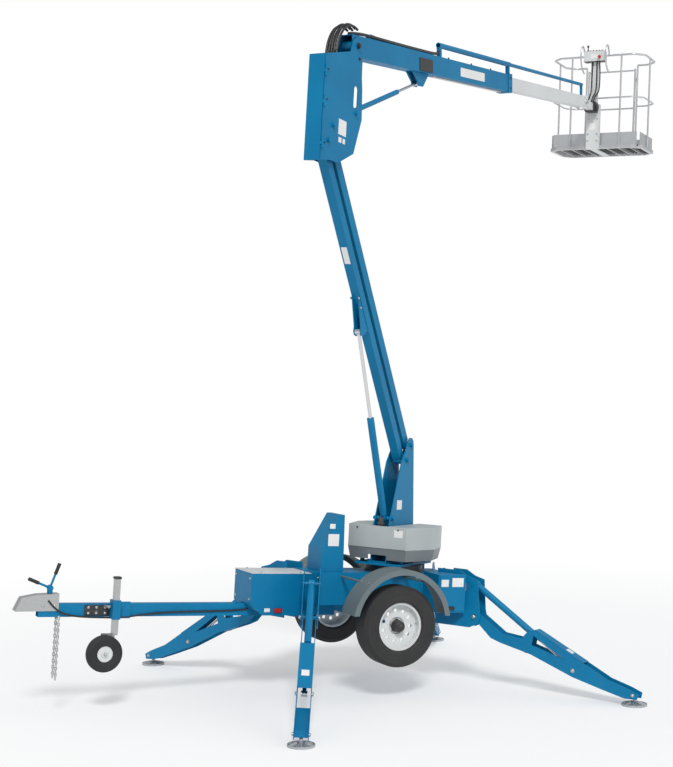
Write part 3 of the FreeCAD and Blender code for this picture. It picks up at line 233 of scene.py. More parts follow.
@dataclass(frozen=True)
class Plastic:
    """Moulded plastic or rubber with a fine leather grain."""

    name: str
    colour: Colour
    shade: Colour
    roughness: float = 0.55
    grain: float = 240.0
    depth: float = 0.0008

    def build(self) -> bpy.types.Material:
        """Make the material."""
        g = Graph(LOOK + self.name)
        cells = g.add("ShaderNodeTexVoronoi", {"feature": "SMOOTH_F1"},
                      {"Vector": g.place, "Scale": self.grain})
        dimple = Value(g, cells.outputs["Distance"])
        cloud = g.noise(3.5, 5).between(0.35, 0.75)
        scuff = g.noise(30, 6, (1, 1, 0.3)).between(0.6, 0.8)
        g.bump(dimple + g.noise(90, 2) * 0.4, self.depth, 0.4)
        return g.surface(Base_Color=g.blend(cloud * 0.7 + scuff * 0.3, self.colour, self.shade),
                         Roughness=self.roughness + cloud * 0.12)


class Finish(Enum):
    """Every finish on the machine."""

    BLUE = Paint("blue_paint", (0.0, 0.185, 0.375), (0.0, 0.135, 0.30), 0.40, 0.04,
                 dust=(0.10, 0.22, 0.31), dust_amount=0.10, specular=0.22)
    SILVER = Paint("silver_paint", (0.66, 0.68, 0.68), (0.56, 0.58, 0.58), 0.35, 0.15, dust_amount=0.08)
    BLACK = Paint("black_paint", (0.018, 0.018, 0.019), (0.03, 0.03, 0.03), 0.42, 0.15)
    PLATE = Paint("blank_plate", (0.80, 0.80, 0.78), (0.72, 0.72, 0.70), 0.4, 0.1, dust_amount=0.1)
    LAMP = Paint("red_lens", (0.45, 0.01, 0.01), (0.35, 0.01, 0.01), 0.12, 0.9, dust_amount=0.05)
    ZINC = Metal("zinc", (0.60, 0.61, 0.60), (0.45, 0.46, 0.46), 0.32)
    GALVANISED = Metal("galvanised", (0.56, 0.58, 0.59), (0.44, 0.46, 0.47), 0.42, 0.85, 0.6)
    ALLOY = Metal("mill_alloy", (0.66, 0.67, 0.68), (0.56, 0.57, 0.58), 0.36, 0.85)
    CHROME = Metal("hard_chrome", (0.75, 0.75, 0.76), (0.66, 0.67, 0.68), 0.1, 1.0, grain=(30, 30, 30))
    GRATING = Paint("dark_grating", (0.06, 0.062, 0.065), (0.10, 0.10, 0.10), 0.5, 0.0)
    DARK = Plastic("dark_plastic", (0.045, 0.046, 0.05), (0.065, 0.065, 0.067), 0.5)
    FENDER = Plastic("mudguard_plastic", (0.12, 0.155, 0.165), (0.16, 0.19, 0.20), 0.5)
    RUBBER = Plastic("tyre_rubber", (0.016, 0.016, 0.017), (0.04, 0.039, 0.037), 0.72, 160, 0.001)
    HOSE = Plastic("hose_rubber", (0.012, 0.012, 0.013), (0.024, 0.024, 0.025), 0.45, 400, 0.0003)

    def material(self) -> bpy.types.Material:
        """The finish's material, made once."""
        return bpy.data.materials.get(LOOK + self.value.name) or self.value.build()


# ------------------------------------------------------------------ frames of the bodies at rest
def joint(name: str) -> dict:
    """The record's joint of that name."""
    return next(item for item in frame["joints"] if item["name"] == name)


def standing(origin: Point, across: Point, along: Optional[Point] = None,
             up: Optional[Point] = None) -> Matrix:
    """A frame from its origin, its +Y and either its +X or its +Z.

    Args:
        origin: where the frame stands.
        across: the way of its +Y.
        along: about the way of its +X, where that is given.
        up: about the way of its +Z, where along isn't given.

    Returns:
        The frame as a matrix.
    """
    y = Vector(across).normalized()
    if along is not None:
        x = Vector(along)
        x = (x - y * x.dot(y)).normalized()
        z = x.cross(y)
    else:
        z = Vector(up)
        z = (z - y * z.dot(y)).normalized()
        x = y.cross(z)
    rotation = Matrix((x, y, z)).transposed().to_4x4()
    return Matrix.Translation(Vector(origin)) @ rotation


def middle(*names: str) -> Vector:
    """The centre of the box round some nodes."""
    lows, highs = zip(*(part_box(name) for name in names))
    low = Vector(min(corner[i] for corner in lows) for i in range(3))
    high = Vector(max(corner[i] for corner in highs) for i in range(3))
    return (low + high) / 2


UP = Vector(joint("slew")["axis"])
ACROSS = Vector(joint("lower_arm_lift")["axis"])
AXLE = middle("rim_left", "rim_right")
AXLE_X, AXLE_Z, HALF_TRACK = -0.284, 0.608, 0.625  # the road wheels' centres in the machine's frame
MACHINE = standing(AXLE, joint("wheel_spin_left")["axis"], up=UP) @ Matrix.Translation((-AXLE_X, 0, -AXLE_Z))
SLEW = Vector(joint("slew")["pos_m"])
TURN = standing(SLEW, ACROSS, up=UP) @ Matrix.Translation((0, 0, -1.0))
ARM = standing(joint("lower_arm_lift")["pos_m"], ACROSS,
               along=Vector(joint("elbow_level")["pos_m"]) - Vector(joint("lower_arm_lift")["pos_m"]))
LINK = Matrix.Translation(Vector(joint("link_arm_swing")["pos_m"]) - ARM.translation) @ ARM
ELBOW = Matrix.Translation(Vector(joint("elbow_level")["pos_m"]) - TURN.translation) @ TURN
BOOM = standing(joint("boom_lift")["pos_m"], ACROSS, along=joint("telescope")["axis"])
PLATFORM = standing(joint("platform_level")["pos_m"], ACROSS, up=(0, 0, 1))
CORNERS = ("front_left", "front_right", "rear_left", "rear_right")


def leg_frame(corner: str) -> Matrix:
    """The frame of one outrigger, along it from its pivot."""
    pivot = Vector(joint("leg_fold_" + corner)["pos_m"])
    foot = middle("foot_" + corner)
    foot.z = 0.075
    return standing(pivot, -Vector(joint("leg_fold_" + corner)["axis"]), along=foot - pivot)


# ------------------------------------------------------------------ mesh tools
def settle(made: bpy.types.Object, body: str, replaced: Sequence[str]) -> None:
    """Args:
        made: the piece.
        body: the body it rides on.
        replaced: CAD nodes that it stands for.
    """
    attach(made, body)
    if replaced:
        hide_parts(*replaced)
    LOG.info("%s: %d faces", made.name, len(made.data.polygons))


class Maker:
    """Collects shapes drawn in one frame and makes them one piece on one body."""

    def __init__(self, name: str, body: str, place: Matrix, finish: Finish) -> None:
        """Start an empty piece."""
        self.name, self.body, self.place, self.finish = name, body, place, finish
        self.mesh = bmesh.new()

    def _put(self, made: bmesh.types.BMesh, local: Matrix) -> None:
        """Add a small mesh at a local place."""
        data = bpy.data.meshes.new("part")
        bmesh.ops.recalc_face_normals(made, faces=made.faces)
        made.to_mesh(data)
        made.free()
        data.transform(local)
        self.mesh.from_mesh(data)
        bpy.data.meshes.remove(data)

    def box(self, low: Point, high: Point, bevel: float = 0.002, turn: Matrix = Matrix()) -> "Maker":
        """A box between two corners with small rounded edges."""
        made = bmesh.new()
        bmesh.ops.create_cube(made, size=1)
        size = Vector(high) - Vector(low)
        bmesh.ops.scale(made, vec=size, verts=made.verts)
        ease = min(bevel, min(size) * 0.3)
        bmesh.ops.bevel(made, geom=made.edges[:], offset=ease, segments=2, affect="EDGES")
        self._put(made, turn @ Matrix.Translation((Vector(low) + Vector(high)) / 2))
        return self

    def spindle(self, start: Point, end: Point, profile: Iterable[tuple[float, float]],
                sides: int = 24) -> "Maker":
        """A turned shape with flat ends.

        Args:
            start: where its axis starts.
            end: any point that the axis points to.
            profile: pairs of the distance along the axis and the radius there.
            sides: how many sides it has.

        Returns:
            This maker.
        """
        first, last = Vector(start), Vector(end)
        made = bmesh.new()
        rings = []
        for along, radius in profile:
            ring = []
            for step in range(sides):
                turn = 2 * math.pi * step / sides
                ring.append(made.verts.new((radius * math.cos(turn), radius * math.sin(turn), along)))
            rings.append(ring)
        for lower, upper in zip(rings, rings[1:]):
            for step in range(sides):
                after = (step + 1) % sides
                made.faces.new((lower[step], lower[after], upper[after], upper[step]))
        made.faces.new(rings[0])
        made.faces.new(rings[-1])
        turn = (last - first).to_track_quat("Z", "Y").to_matrix().to_4x4()
        self._put(made, Matrix.Translation(first) @ turn)
        return self

    def rod(self, start: Point, end: Point, radius: float, sides: int = 20) -> "Maker":
        """A round bar with softened ends."""
        length = (Vector(end) - Vector(start)).length
        ease = min(radius * 0.2, length * 0.2)
        return self.spindle(start, end, [(0, radius - ease), (ease, radius), (length - ease, radius),
                                         (length, radius - ease)], sides)

    def bolt(self, at: Point, out: Point, size: float = 0.012) -> "Maker":
        """A washer and a six-sided head standing on a face."""
        base, way = Vector(at), Vector(out).normalized()
        self.spindle(base, base + way, [(0, size), (size * 0.2, size), (size * 0.2, size * 0.86)], 20)
        return self.spindle(base, base + way, [(0, size * 0.82), (size * 0.7, size * 0.82),
                                               (size * 0.85, size * 0.62)], 6)

    def pipe(self, points: Sequence[Point], radius: float, sides: int = 10) -> "Maker":
        """A tube along a smooth line through given points."""
        curve = bpy.data.curves.new("line", "CURVE")
        curve.dimensions = "3D"
        curve.bevel_depth = radius
        curve.bevel_resolution = max(1, sides // 4)
        curve.resolution_u = 6
        curve.use_fill_caps = True
        spline = curve.splines.new("NURBS")
        spline.points.add(len(points) - 1)
        for node, point in zip(spline.points, points):
            node.co = (*point, 1)
        spline.order_u = min(4, len(points))
        spline.use_endpoint_u = True
        holder = bpy.data.objects.new("line", curve)
        bpy.context.scene.collection.objects.link(holder)
        bpy.context.view_layer.update()
        data = bpy.data.meshes.new_from_object(holder.evaluated_get(bpy.context.evaluated_depsgraph_get()))
        bpy.data.objects.remove(holder)
        bpy.data.curves.remove(curve)
        made = bmesh.new()
        made.from_mesh(data)
        bpy.data.meshes.remove(data)
        bmesh.ops.remove_doubles(made, verts=made.verts, dist=1e-6)
        self._put(made, Matrix())
        return self

    def slab(self, outline: Sequence[tuple[float, float]], low: float, high: float, axis: str = "y",
             bevel: float = 0.0015) -> "Maker":
        """A flat plate: outline in (x, z) for axis y, (x, y) for z or (y, z) for x, between two levels."""
        made = bmesh.new()
        order = {"y": lambda u, v, w: (u, w, v), "z": lambda u, v, w: (u, v, w),
                 "x": lambda u, v, w: (w, u, v)}[axis]
        lower = [made.verts.new(order(u, v, low)) for u, v in outline]
        upper = [made.verts.new(order(u, v, high)) for u, v in outline]
        made.faces.new(lower)
        made.faces.new(upper)
        count = len(outline)
        for step in range(count):
            after = (step + 1) % count
            made.faces.new((lower[step], lower[after], upper[after], upper[step]))
        ease = min(bevel, (high - low) * 0.3)
        bmesh.ops.bevel(made, geom=made.edges[:], offset=ease, segments=1, affect="EDGES")
        self._put(made, Matrix())
        return self

    def done(self, *replaced: str, slot: Optional[str] = None, smooth: float = 40.0) -> bpy.types.Object:
        """Finish the piece: place it, give it its finish and its body.

        Args:
            replaced: CAD nodes that the piece stands for.
            slot: not used.
            smooth: the angle in degrees up to which faces are shaded as one.

        Returns:
            The finished object.
        """
        data = bpy.data.meshes.new(self.name)
        self.mesh.to_mesh(data)
        self.mesh.free()
        data.transform(self.place)
        data.materials.append(self.finish.material())
        data.polygons.foreach_set("use_smooth", [True] * len(data.polygons))
        data.set_sharp_from_angle(angle=math.radians(smooth))
        made = bpy.data.objects.new(self.name, data)
        bpy.context.scene.collection.objects.link(made)
        settle(made, self.body, replaced)
        return made


# ------------------------------------------------------------------ carried-over nodes
CAD_FINISHES: dict[str, Finish] = {
    "coupler": Finish.ZINC, "jack_tube": Finish.ZINC, "safety_chains": Finish.ZINC,
    "rim_left": Finish.SILVER, "rim_right": Finish.SILVER, "jockey_rim": Finish.SILVER,
    "control_box": Finish.SILVER, "platform_mount": Finish.SILVER, "fenders": Finish.FENDER,
    "batteries": Finish.DARK, "hose_carrier": Finish.BLUE, "slew_bearing": Finish.BLACK,
    "lift_barrel": Finish.BLUE, "boom_barrel": Finish.BLUE, "coupler_handle": Finish.BLUE,
    "extension_tube": Finish.SILVER,
    "jockey_fork": Finish.ZINC, "tyre_left": Finish.RUBBER, "tyre_right": Finish.RUBBER,
    "jockey_tyre": Finish.RUBBER, "turntable_cover": Finish.DARK, "platform_rails": Finish.ALLOY,
    "platform_floor": Finish.ALLOY, "toe_boards": Finish.ALLOY, "platform_gate": Finish.ALLOY,
    "lift_rod": Finish.CHROME, "boom_rod": Finish.CHROME, "hose_guide": Finish.BLUE,
}


def dress_nodes() -> None:
    """Give every CAD node its finish."""
    for name, node in frame["nodes"].items():
        finish = CAD_FINISHES.get(name, Finish.BLUE)
        if name.startswith("leg_rod"):
            finish = Finish.CHROME
        elif name.startswith("foot_"):
            finish = Finish.GALVANISED
        node.data.materials.clear()
        node.data.materials.append(finish.material())


# ------------------------------------------------------------------ stage
@dataclass
class Stage:
    """Pale floor, soft lamps and the camera."""

    lens: float = 66.93
    from_axle: tuple[float, float] = (-5.477, -10.918)
    eye_height: float = 2.565
    heading: float = 25.64
    rise: float = 0.003
    fade_from: float = 3.2
    fade_to: float = 7.5

    def floor(self) -> None:
        """A wide pale floor that fades to the background's white."""
        data = bpy.data.meshes.new("floor")
        far, level = 60.0, -0.001
        corners = [(-far, -far, level), (far, -far, level), (far, far, level), (-far, far, level)]
        data.from_pydata(corners, [], [(0, 1, 2, 3)])
        g = Graph("pale_floor")
        pale = g.blend(g.noise(0.7, 4) * 0.3, (0.97, 0.97, 0.97), (0.95, 0.95, 0.95))
        g.surface(Base_Color=pale, Roughness=0.85)
        reach = g.add("ShaderNodeVectorMath", {"operation": "LENGTH"}, {0: g.place}).outputs["Value"]
        white = g.add("ShaderNodeEmission", {}, {"Color": (1.0, 1.0, 1.0, 1.0), "Strength": 1.0})
        seen = Value(g, g.add("ShaderNodeLightPath").outputs["Is Camera Ray"])
        fade = Value(g, reach).between(self.fade_from, self.fade_to) * 0.7 + 0.3
        mixed = g.add("ShaderNodeMixShader", {},
                      {0: seen * fade, 1: g.shader.outputs[0], 2: white.outputs[0]})
        g.links.new(mixed.outputs[0], g.output.inputs["Surface"])
        data.materials.append(g.material)
        floor = bpy.data.objects.new("floor", data)
        bpy.context.scene.collection.objects.link(floor)

    def world(self) -> None:
        """A soft sky, white where the camera sees it."""
        world = bpy.data.worlds.new("sky")
        bpy.context.scene.world = world
        world.use_nodes = True
        tree = world.node_tree
        tree.nodes.clear()
        sky = tree.nodes.new("ShaderNodeBackground")
        sky.inputs[0].default_value = (0.96, 0.98, 1.0, 1)
        sky.inputs[1].default_value = 0.48
        white = tree.nodes.new("ShaderNodeBackground")
        white.inputs[0].default_value = (1.0, 1.0, 1.0, 1)
        rays = tree.nodes.new("ShaderNodeLightPath")
        mix = tree.nodes.new("ShaderNodeMixShader")
        output = tree.nodes.new("ShaderNodeOutputWorld")
        tree.links.new(rays.outputs["Is Camera Ray"], mix.inputs[0])
        tree.links.new(sky.outputs[0], mix.inputs[1])
        tree.links.new(white.outputs[0], mix.inputs[2])
        tree.links.new(mix.outputs[0], output.inputs[0])

    def lamps(self) -> None:
        """One soft sun from the front left and one wide fill."""
        for name, energy, angle, way in (("sun", 1.9, 12, (48, 8, -28)), ("fill", 0.45, 60, (55, 0, 60))):
            lamp = bpy.data.lights.new(name, "SUN")
            lamp.energy = energy
            lamp.angle = math.radians(angle)
            holder = bpy.data.objects.new(name, lamp)
            holder.rotation_euler = tuple(math.radians(turn) for turn in way)
            bpy.context.scene.collection.objects.link(holder)

    def camera(self) -> None:
        """The camera, level, at eye height."""
        data = bpy.data.cameras.new("camera")
        data.lens = self.lens
        data.sensor_width = 36
        data.shift_y = self.rise
        camera = bpy.data.objects.new("camera", data)
        camera.location = (AXLE.x + self.from_axle[0], AXLE.y + self.from_axle[1], self.eye_height)
        camera.rotation_euler = (math.radians(90), 0, -math.radians(self.heading))
        bpy.context.scene.collection.objects.link(camera)
        bpy.context.scene.camera = camera
        bpy.context.scene.view_settings.view_transform = "Standard"

    def build(self) -> None:
        """Set everything up."""
        self.floor()
        self.world()
        self.lamps()
        self.camera()


# ------------------------------------------------------------------ repeats by Geometry Nodes
class Repeat:
    """Instances one shape by a node tree and makes the result plain mesh."""

    def __init__(self, name: str, shape: bpy.types.Object, finish: Finish) -> None:
        """Hold the shape that repeats."""
        self.name, self.shape, self.finish = name, shape, finish

    def _tree(self, kind: str) -> tuple[bpy.types.NodeTree, dict[str, str]]:
        """A tree that turns a row or a ring of points into instances.

        Args:
            kind: "row" or "ring".

        Returns:
            The tree and the identifier of each of its inputs.
        """
        tree = bpy.data.node_groups.new(self.name, "GeometryNodeTree")
        face = tree.interface
        face.new_socket("Geometry", in_out="OUTPUT", socket_type="NodeSocketGeometry")
        count = face.new_socket("Count", in_out="INPUT", socket_type="NodeSocketInt")
        step = face.new_socket("Step", in_out="INPUT", socket_type="NodeSocketVector")
        radius = face.new_socket("Radius", in_out="INPUT", socket_type="NodeSocketFloat")
        quarter = face.new_socket("Alternate", in_out="INPUT", socket_type="NodeSocketFloat")
        start, end = tree.nodes.new("NodeGroupInput"), tree.nodes.new("NodeGroupOutput")
        info = tree.nodes.new("GeometryNodeObjectInfo")
        info.inputs[0].default_value = self.shape
        spread = tree.nodes.new("GeometryNodeInstanceOnPoints")
        real = tree.nodes.new("GeometryNodeRealizeInstances")
        paint = tree.nodes.new("GeometryNodeSetMaterial")
        paint.inputs["Material"].default_value = self.finish.material()
        turn = tree.nodes.new("ShaderNodeCombineXYZ")
        index, multiply = tree.nodes.new("GeometryNodeInputIndex"), tree.nodes.new("ShaderNodeMath")
        multiply.operation = "MULTIPLY"
        tree.links.new(index.outputs[0], multiply.inputs[0])
        if kind == "row":
            line = tree.nodes.new("GeometryNodeMeshLine")
            tree.links.new(start.outputs["Count"], line.inputs["Count"])
            tree.links.new(start.outputs["Step"], line.inputs["Offset"])
            tree.links.new(line.outputs[0], spread.inputs["Points"])
            tree.links.new(start.outputs["Alternate"], multiply.inputs[1])
            tree.links.new(multiply.outputs[0], turn.inputs["Z"])
        else:
            ring = tree.nodes.new("GeometryNodeMeshCircle")
            tree.links.new(start.outputs["Count"], ring.inputs["Vertices"])
            tree.links.new(start.outputs["Radius"], ring.inputs["Radius"])
            tree.links.new(ring.outputs[0], spread.inputs["Points"])
            divide = tree.nodes.new("ShaderNodeMath")
            divide.operation = "DIVIDE"
            divide.inputs[0].default_value = 2 * math.pi
            tree.links.new(start.outputs["Count"], divide.inputs[1])
            tree.links.new(divide.outputs[0], multiply.inputs[1])
            tree.links.new(multiply.outputs[0], turn.inputs["Z"])
        tree.links.new(info.outputs["Geometry"], spread.inputs["Instance"])
        tree.links.new(turn.outputs[0], spread.inputs["Rotation"])
        tree.links.new(spread.outputs[0], real.inputs[0])
        tree.links.new(real.outputs[0], paint.inputs[0])
        tree.links.new(paint.outputs[0], end.inputs[0])
        return tree, {"Count": count.identifier, "Step": step.identifier, "Radius": radius.identifier,
                      "Alternate": quarter.identifier}

    def build(self, kind: str, values: dict[str, Any], places: Sequence[Matrix], body: str,
              replaced: Sequence[str] = (), slot: Optional[str] = None) -> bpy.types.Object:
        """Run the tree once, copy its mesh to each place and finish one piece.

        Args:
            kind: "row" or "ring".
            values: the tree's inputs by name.
            places: where the whole row or ring goes, one matrix for each copy.
            body: the body that the piece rides on.
            replaced: CAD nodes that the piece stands for.
            slot: not used.

        Returns:
            The finished object.
        """
        tree, names = self._tree(kind)
        holder = bpy.data.objects.new(self.name + "_holder", bpy.data.meshes.new("holder"))
        bpy.context.scene.collection.objects.link(holder)
        modifier = holder.modifiers.new("repeat", "NODES")
        modifier.node_group = tree
        for key, given in values.items():
            modifier[names[key]] = given
        holder.update_tag()
        bpy.context.view_layer.update()
        data = bpy.data.meshes.new_from_object(holder.evaluated_get(bpy.context.evaluated_depsgraph_get()))
        holder.modifiers.remove(modifier)
        bpy.data.objects.remove(holder)
        whole = bmesh.new()
        for place in places:
            copy = data.copy()
            copy.transform(place)
            whole.from_mesh(copy)
            bpy.data.meshes.remove(copy)
        made_data = bpy.data.meshes.new(self.name)
        whole.to_mesh(made_data)
        whole.free()
        made_data.materials.clear()
        made_data.materials.append(self.finish.material())
        made = bpy.data.objects.new(self.name, made_data)
        bpy.context.scene.collection.objects.link(made)
        settle(made, body, replaced)
        bpy.data.objects.remove(self.shape)
        return made


def seed(build: Callable[[Maker], Any]) -> bpy.types.Object:
    """A loose shape for a repeat, drawn round the origin."""
    maker = Maker("seed", "", Matrix(), Finish.BLUE)
    build(maker)
    data = bpy.data.meshes.new("seed")
    maker.mesh.to_mesh(data)
    maker.mesh.free()
    made = bpy.data.objects.new("seed", data)
    bpy.context.scene.collection.objects.link(made)
    return made


ALONG_Y = Matrix.Rotation(math.radians(-90), 4, "X")
AT_CENTRE = 0.00001  # radius of a ring whose shape is already drawn at its distance from the centre


# ------------------------------------------------------------------ running gear
@dataclass
class RoadWheel:
    """Lugs, hub cap, valve and tread of one wheel."""

    side: str
    radius: float = 0.33
    width: float = 0.2
    lugs: int = 5
    tread_blocks: int = 72

    def build(self) -> None:
        """Dress the wheel's outer face and its tread."""
        out = -1 if self.side == "left" else 1
        place = MACHINE @ Matrix.Translation((AXLE_X, out * HALF_TRACK, AXLE_Z))
        hub = Maker(f"hub_{self.side}", "wheel_" + self.side, place, Finish.BLACK)
        hub.spindle((0, out * 0.012, 0), (0, out * 1.0, 0),
                    [(0, 0.050), (0.030, 0.050), (0.042, 0.042), (0.072, 0.040), (0.080, 0.032),
                     (0.080, 0.030)], 40)
        hub.done(slot="black_steel")
        nuts = Maker(f"lug_nuts_{self.side}", "wheel_" + self.side, place, Finish.ZINC)
        for step in range(self.lugs):
            turn = 2 * math.pi * (step + 0.25) / self.lugs
            spot = (0.0605 * math.cos(turn), out * 0.006, 0.0605 * math.sin(turn))
            nuts.spindle(spot, (spot[0], spot[1] + out, spot[2]),
                         [(0, 0.013), (0.006, 0.0105), (0.018, 0.0105), (0.024, 0.005)], 6)
        nuts.rod((0.168, out * 0.02, 0.02), (0.172, out * 0.052, 0.02), 0.004)
        nuts.done(slot="zinc")
        block = seed(lambda m: m.box((-0.0016, -0.010, -0.021), (0.0016, 0.0004, 0.021), 0.0004))
        block.data.transform(Matrix.Translation((0, self.radius - 0.0002, 0)))
        for name, shift in (("inner", -0.024), ("outer", 0.024)):
            shape = block.copy()
            shape.data = block.data.copy()
            bpy.context.scene.collection.objects.link(shape)
            shape.data.transform(Matrix.Translation((0, 0, shift)))
            Repeat(f"tread_{self.side}_{name}", shape, Finish.RUBBER).build(
                "ring", {"Count": self.tread_blocks, "Radius": AT_CENTRE}, [place @ ALONG_Y],
                "wheel_" + self.side, slot="tyre")
        bpy.data.objects.remove(block)
        rings = Maker(f"sidewall_{self.side}", "wheel_" + self.side, place, Finish.RUBBER)
        for radius in (0.236, 0.268):
            ring = [(radius * math.cos(a / 24 * 2 * math.pi), out * (self.width / 2 - 0.001),
                     radius * math.sin(a / 24 * 2 * math.pi)) for a in range(26)]
            rings.pipe(ring, 0.0025, 8)
        rings.done(slot="tyre")


@dataclass
class Chassis:
    """Small fittings of the trailer: lids, lamps, latches, bolts and blank plates."""

    arch_radius: float = 0.445
    arch_lift: float = 0.02

    def build(self) -> None:
        """Dress the front box, the spine, the cabinets and the mudguards."""
        lid = Maker("box_lid", "chassis", MACHINE, Finish.SILVER)
        lid.box((-1.396, -0.189, 0.9725), (-0.862, 0.189, 0.979), 0.002)
        lid.done(slot="silver_paint")
        bolts = Maker("box_bolts", "chassis", MACHINE, Finish.ZINC)
        for y in (-0.15, 0.15):
            for z in (0.76, 0.93):
                bolts.bolt((-1.392, y, z), (-1, 0, 0), 0.010)
        for x in (-1.30, -0.95):
            for y in (-0.16, 0.16):
                bolts.bolt((x, y, 0.979), (0, 0, 1), 0.009)
        for x in (-0.80, 0.14):
            bolts.bolt((x, -0.185, 0.94), (0, -1, 0), 0.009)
        bolts.done(slot="zinc")
        lamp = Maker("side_lamps", "chassis", MACHINE, Finish.LAMP)
        for y, out in ((-0.185, -1), (0.185, 1)):
            low, high = sorted((y, y + out * 0.022))
            lamp.box((-1.19, low, 0.655), (-1.115, high, 0.692), 0.006)
        for y, out in ((-0.45, -1), (0.45, 1)):
            low, high = sorted((y * 0.96, y * 0.7))
            lamp.box((0.4655, low, 0.86), (0.485, high, 0.93), 0.005)
        lamp.done(slot="blue_paint")
        plates = Maker("blank_plates", "chassis", MACHINE, Finish.PLATE)
        plates.box((-1.27, -0.1868, 0.66), (-1.22, -0.185, 0.69), 0.0004)
        plates.box((-0.700, -0.1318, 1.20), (-0.600, -0.130, 1.30), 0.0004)
        plates.box((-0.690, -0.1318, 1.345), (-0.640, -0.130, 1.385), 0.0004)
        plates.box((0.225, -0.4568, 0.90), (0.295, -0.455, 0.96), 0.0004)
        plates.box((0.33, -0.4568, 0.90), (0.44, -0.455, 0.975), 0.0004)
        plates.done(slot="silver_paint")
        seams = Maker("cabinet_doors", "chassis", MACHINE, Finish.BLUE)
        for side in (-1, 1):
            low, high = sorted((side * 0.4505, side * 0.455))
            seams.box((0.212, low, 0.694), (0.453, high, 0.99), 0.0015)
        seams.done(slot="blue_paint")
        latch = Maker("cabinet_latches", "chassis", MACHINE, Finish.BLACK)
        for side in (-1, 1):
            low, high = sorted((side * 0.455, side * 0.470))
            latch.box((0.305, low, 0.705), (0.36, high, 0.735), 0.003)
        latch.box((-0.3, -0.186, 0.70), (-0.27, -0.18, 0.714), 0.001)
        latch.done(slot="black_steel")
        ties = Maker("mudguard_bolts", "chassis", MACHINE, Finish.ZINC)
        for side in (-1, 1):
            for lean in (-42, 42):
                way = (math.sin(math.radians(lean)), 0, math.cos(math.radians(lean)))
                x = AXLE_X + self.arch_radius * way[0]
                z = AXLE_Z + self.arch_lift + self.arch_radius * way[2]
                for y in (0.56, 0.69):
                    ties.bolt((x, side * y, z), way, 0.009)
        ties.done(slot="zinc")


@dataclass
class Drawbar:
    """Chains, jack fittings, the coupler's details and the lines on the drawbar."""

    link_wire: float = 0.0045
    link_length: float = 0.036
    links: int = 20

    def chain(self) -> None:
        """Two hanging strands of welded links, each turned a quarter to the last."""
        def link(maker: Maker) -> None:
            half = self.link_length / 2
            wide = 0.009
            points = [(0, 0, -half), (wide, 0, -half), (wide, 0, half), (-wide, 0, half), (-wide, 0, -half),
                      (0, 0, -half)]
            maker.pipe(points, self.link_wire, 8)
        pitch = self.link_length - 2 * self.link_wire
        top = 0.605
        places = [MACHINE @ Matrix.Translation((-2.93, side * 0.042, top)) for side in (-1, 1)]
        Repeat("chain_links", seed(link), Finish.ZINC).build(
            "row", {"Count": self.links, "Step": (0, 0, -pitch * 0.9), "Alternate": math.radians(90)},
            places, "chassis", ["safety_chains"])

    def build(self) -> None:
        """Dress everything ahead of the box."""
        self.chain()
        bolts = Maker("drawbar_plate", "chassis", MACHINE, Finish.BLACK)
        bolts.box((-2.730, -0.0455, 0.622), (-2.53, -0.0378, 0.704), 0.002)
        bolts.done(slot="black_steel")
        heads = Maker("drawbar_bolts", "chassis", MACHINE, Finish.ZINC)
        for x in (-2.70, -2.635, -2.565):
            for z in (0.642, 0.686):
                heads.bolt((x, -0.0455, z), (0, -1, 0), 0.0105)
        for x in (-3.06, -2.97):
            heads.bolt((x, -0.048, 0.70), (0, -1, 0), 0.012)
        heads.done(slot="zinc")
        line = Maker("drawbar_cable", "chassis", MACHINE, Finish.HOSE)
        line.pipe([(-3.02, -0.055, 0.74), (-2.96, -0.060, 0.66), (-2.85, -0.056, 0.615),
                   (-2.6, -0.055, 0.608), (-2.40, -0.062, 0.604), (-2.2, -0.048, 0.64), (-1.9, -0.046, 0.65),
                   (-1.6, -0.046, 0.65), (-1.40, -0.046, 0.66), (-1.36, -0.046, 0.67)], 0.007)
        line.done(slot="dark_plastic")
        grips = Maker("coupler_grips", "chassis", MACHINE, Finish.RUBBER)
        for angle, reach in ((158, 0.18), (71, 0.195)):
            way = Vector((math.cos(math.radians(angle)), 0, math.sin(math.radians(angle))))
            start = Vector((-3.001, 0, 0.833))
            grips.spindle(start + way * (reach - 0.085), start + way * (reach + 0.006),
                          [(0, 0.010), (0.004, 0.0145), (0.045, 0.0135), (0.085, 0.0145), (0.091, 0.011)], 20)
        grips.done(slot="dark_plastic")
        jack = Maker("jack_cap", "jack", MACHINE, Finish.BLACK)
        jack.box((-2.524, -0.127, 0.9153), (-2.466, -0.069, 0.934), 0.004)
        jack.done(slot="black_steel")
        clamp = Maker("jack_clamp_handle", "chassis", MACHINE, Finish.ZINC)
        clamp.rod((-2.54, -0.098, 0.70), (-2.575, -0.098, 0.70), 0.009)
        clamp.rod((-2.57, -0.16, 0.70), (-2.57, -0.04, 0.70), 0.006)
        clamp.done(slot="zinc")
        centre = MACHINE @ Matrix.Translation((-2.568, -0.098, 0.332))
        hub = Maker("jockey_hub", "jockey_wheel", centre, Finish.ZINC)
        for out in (-1, 1):
            hub.bolt((0, out * 0.040, 0), (0, out, 0), 0.014)
        hub.done(slot="zinc")


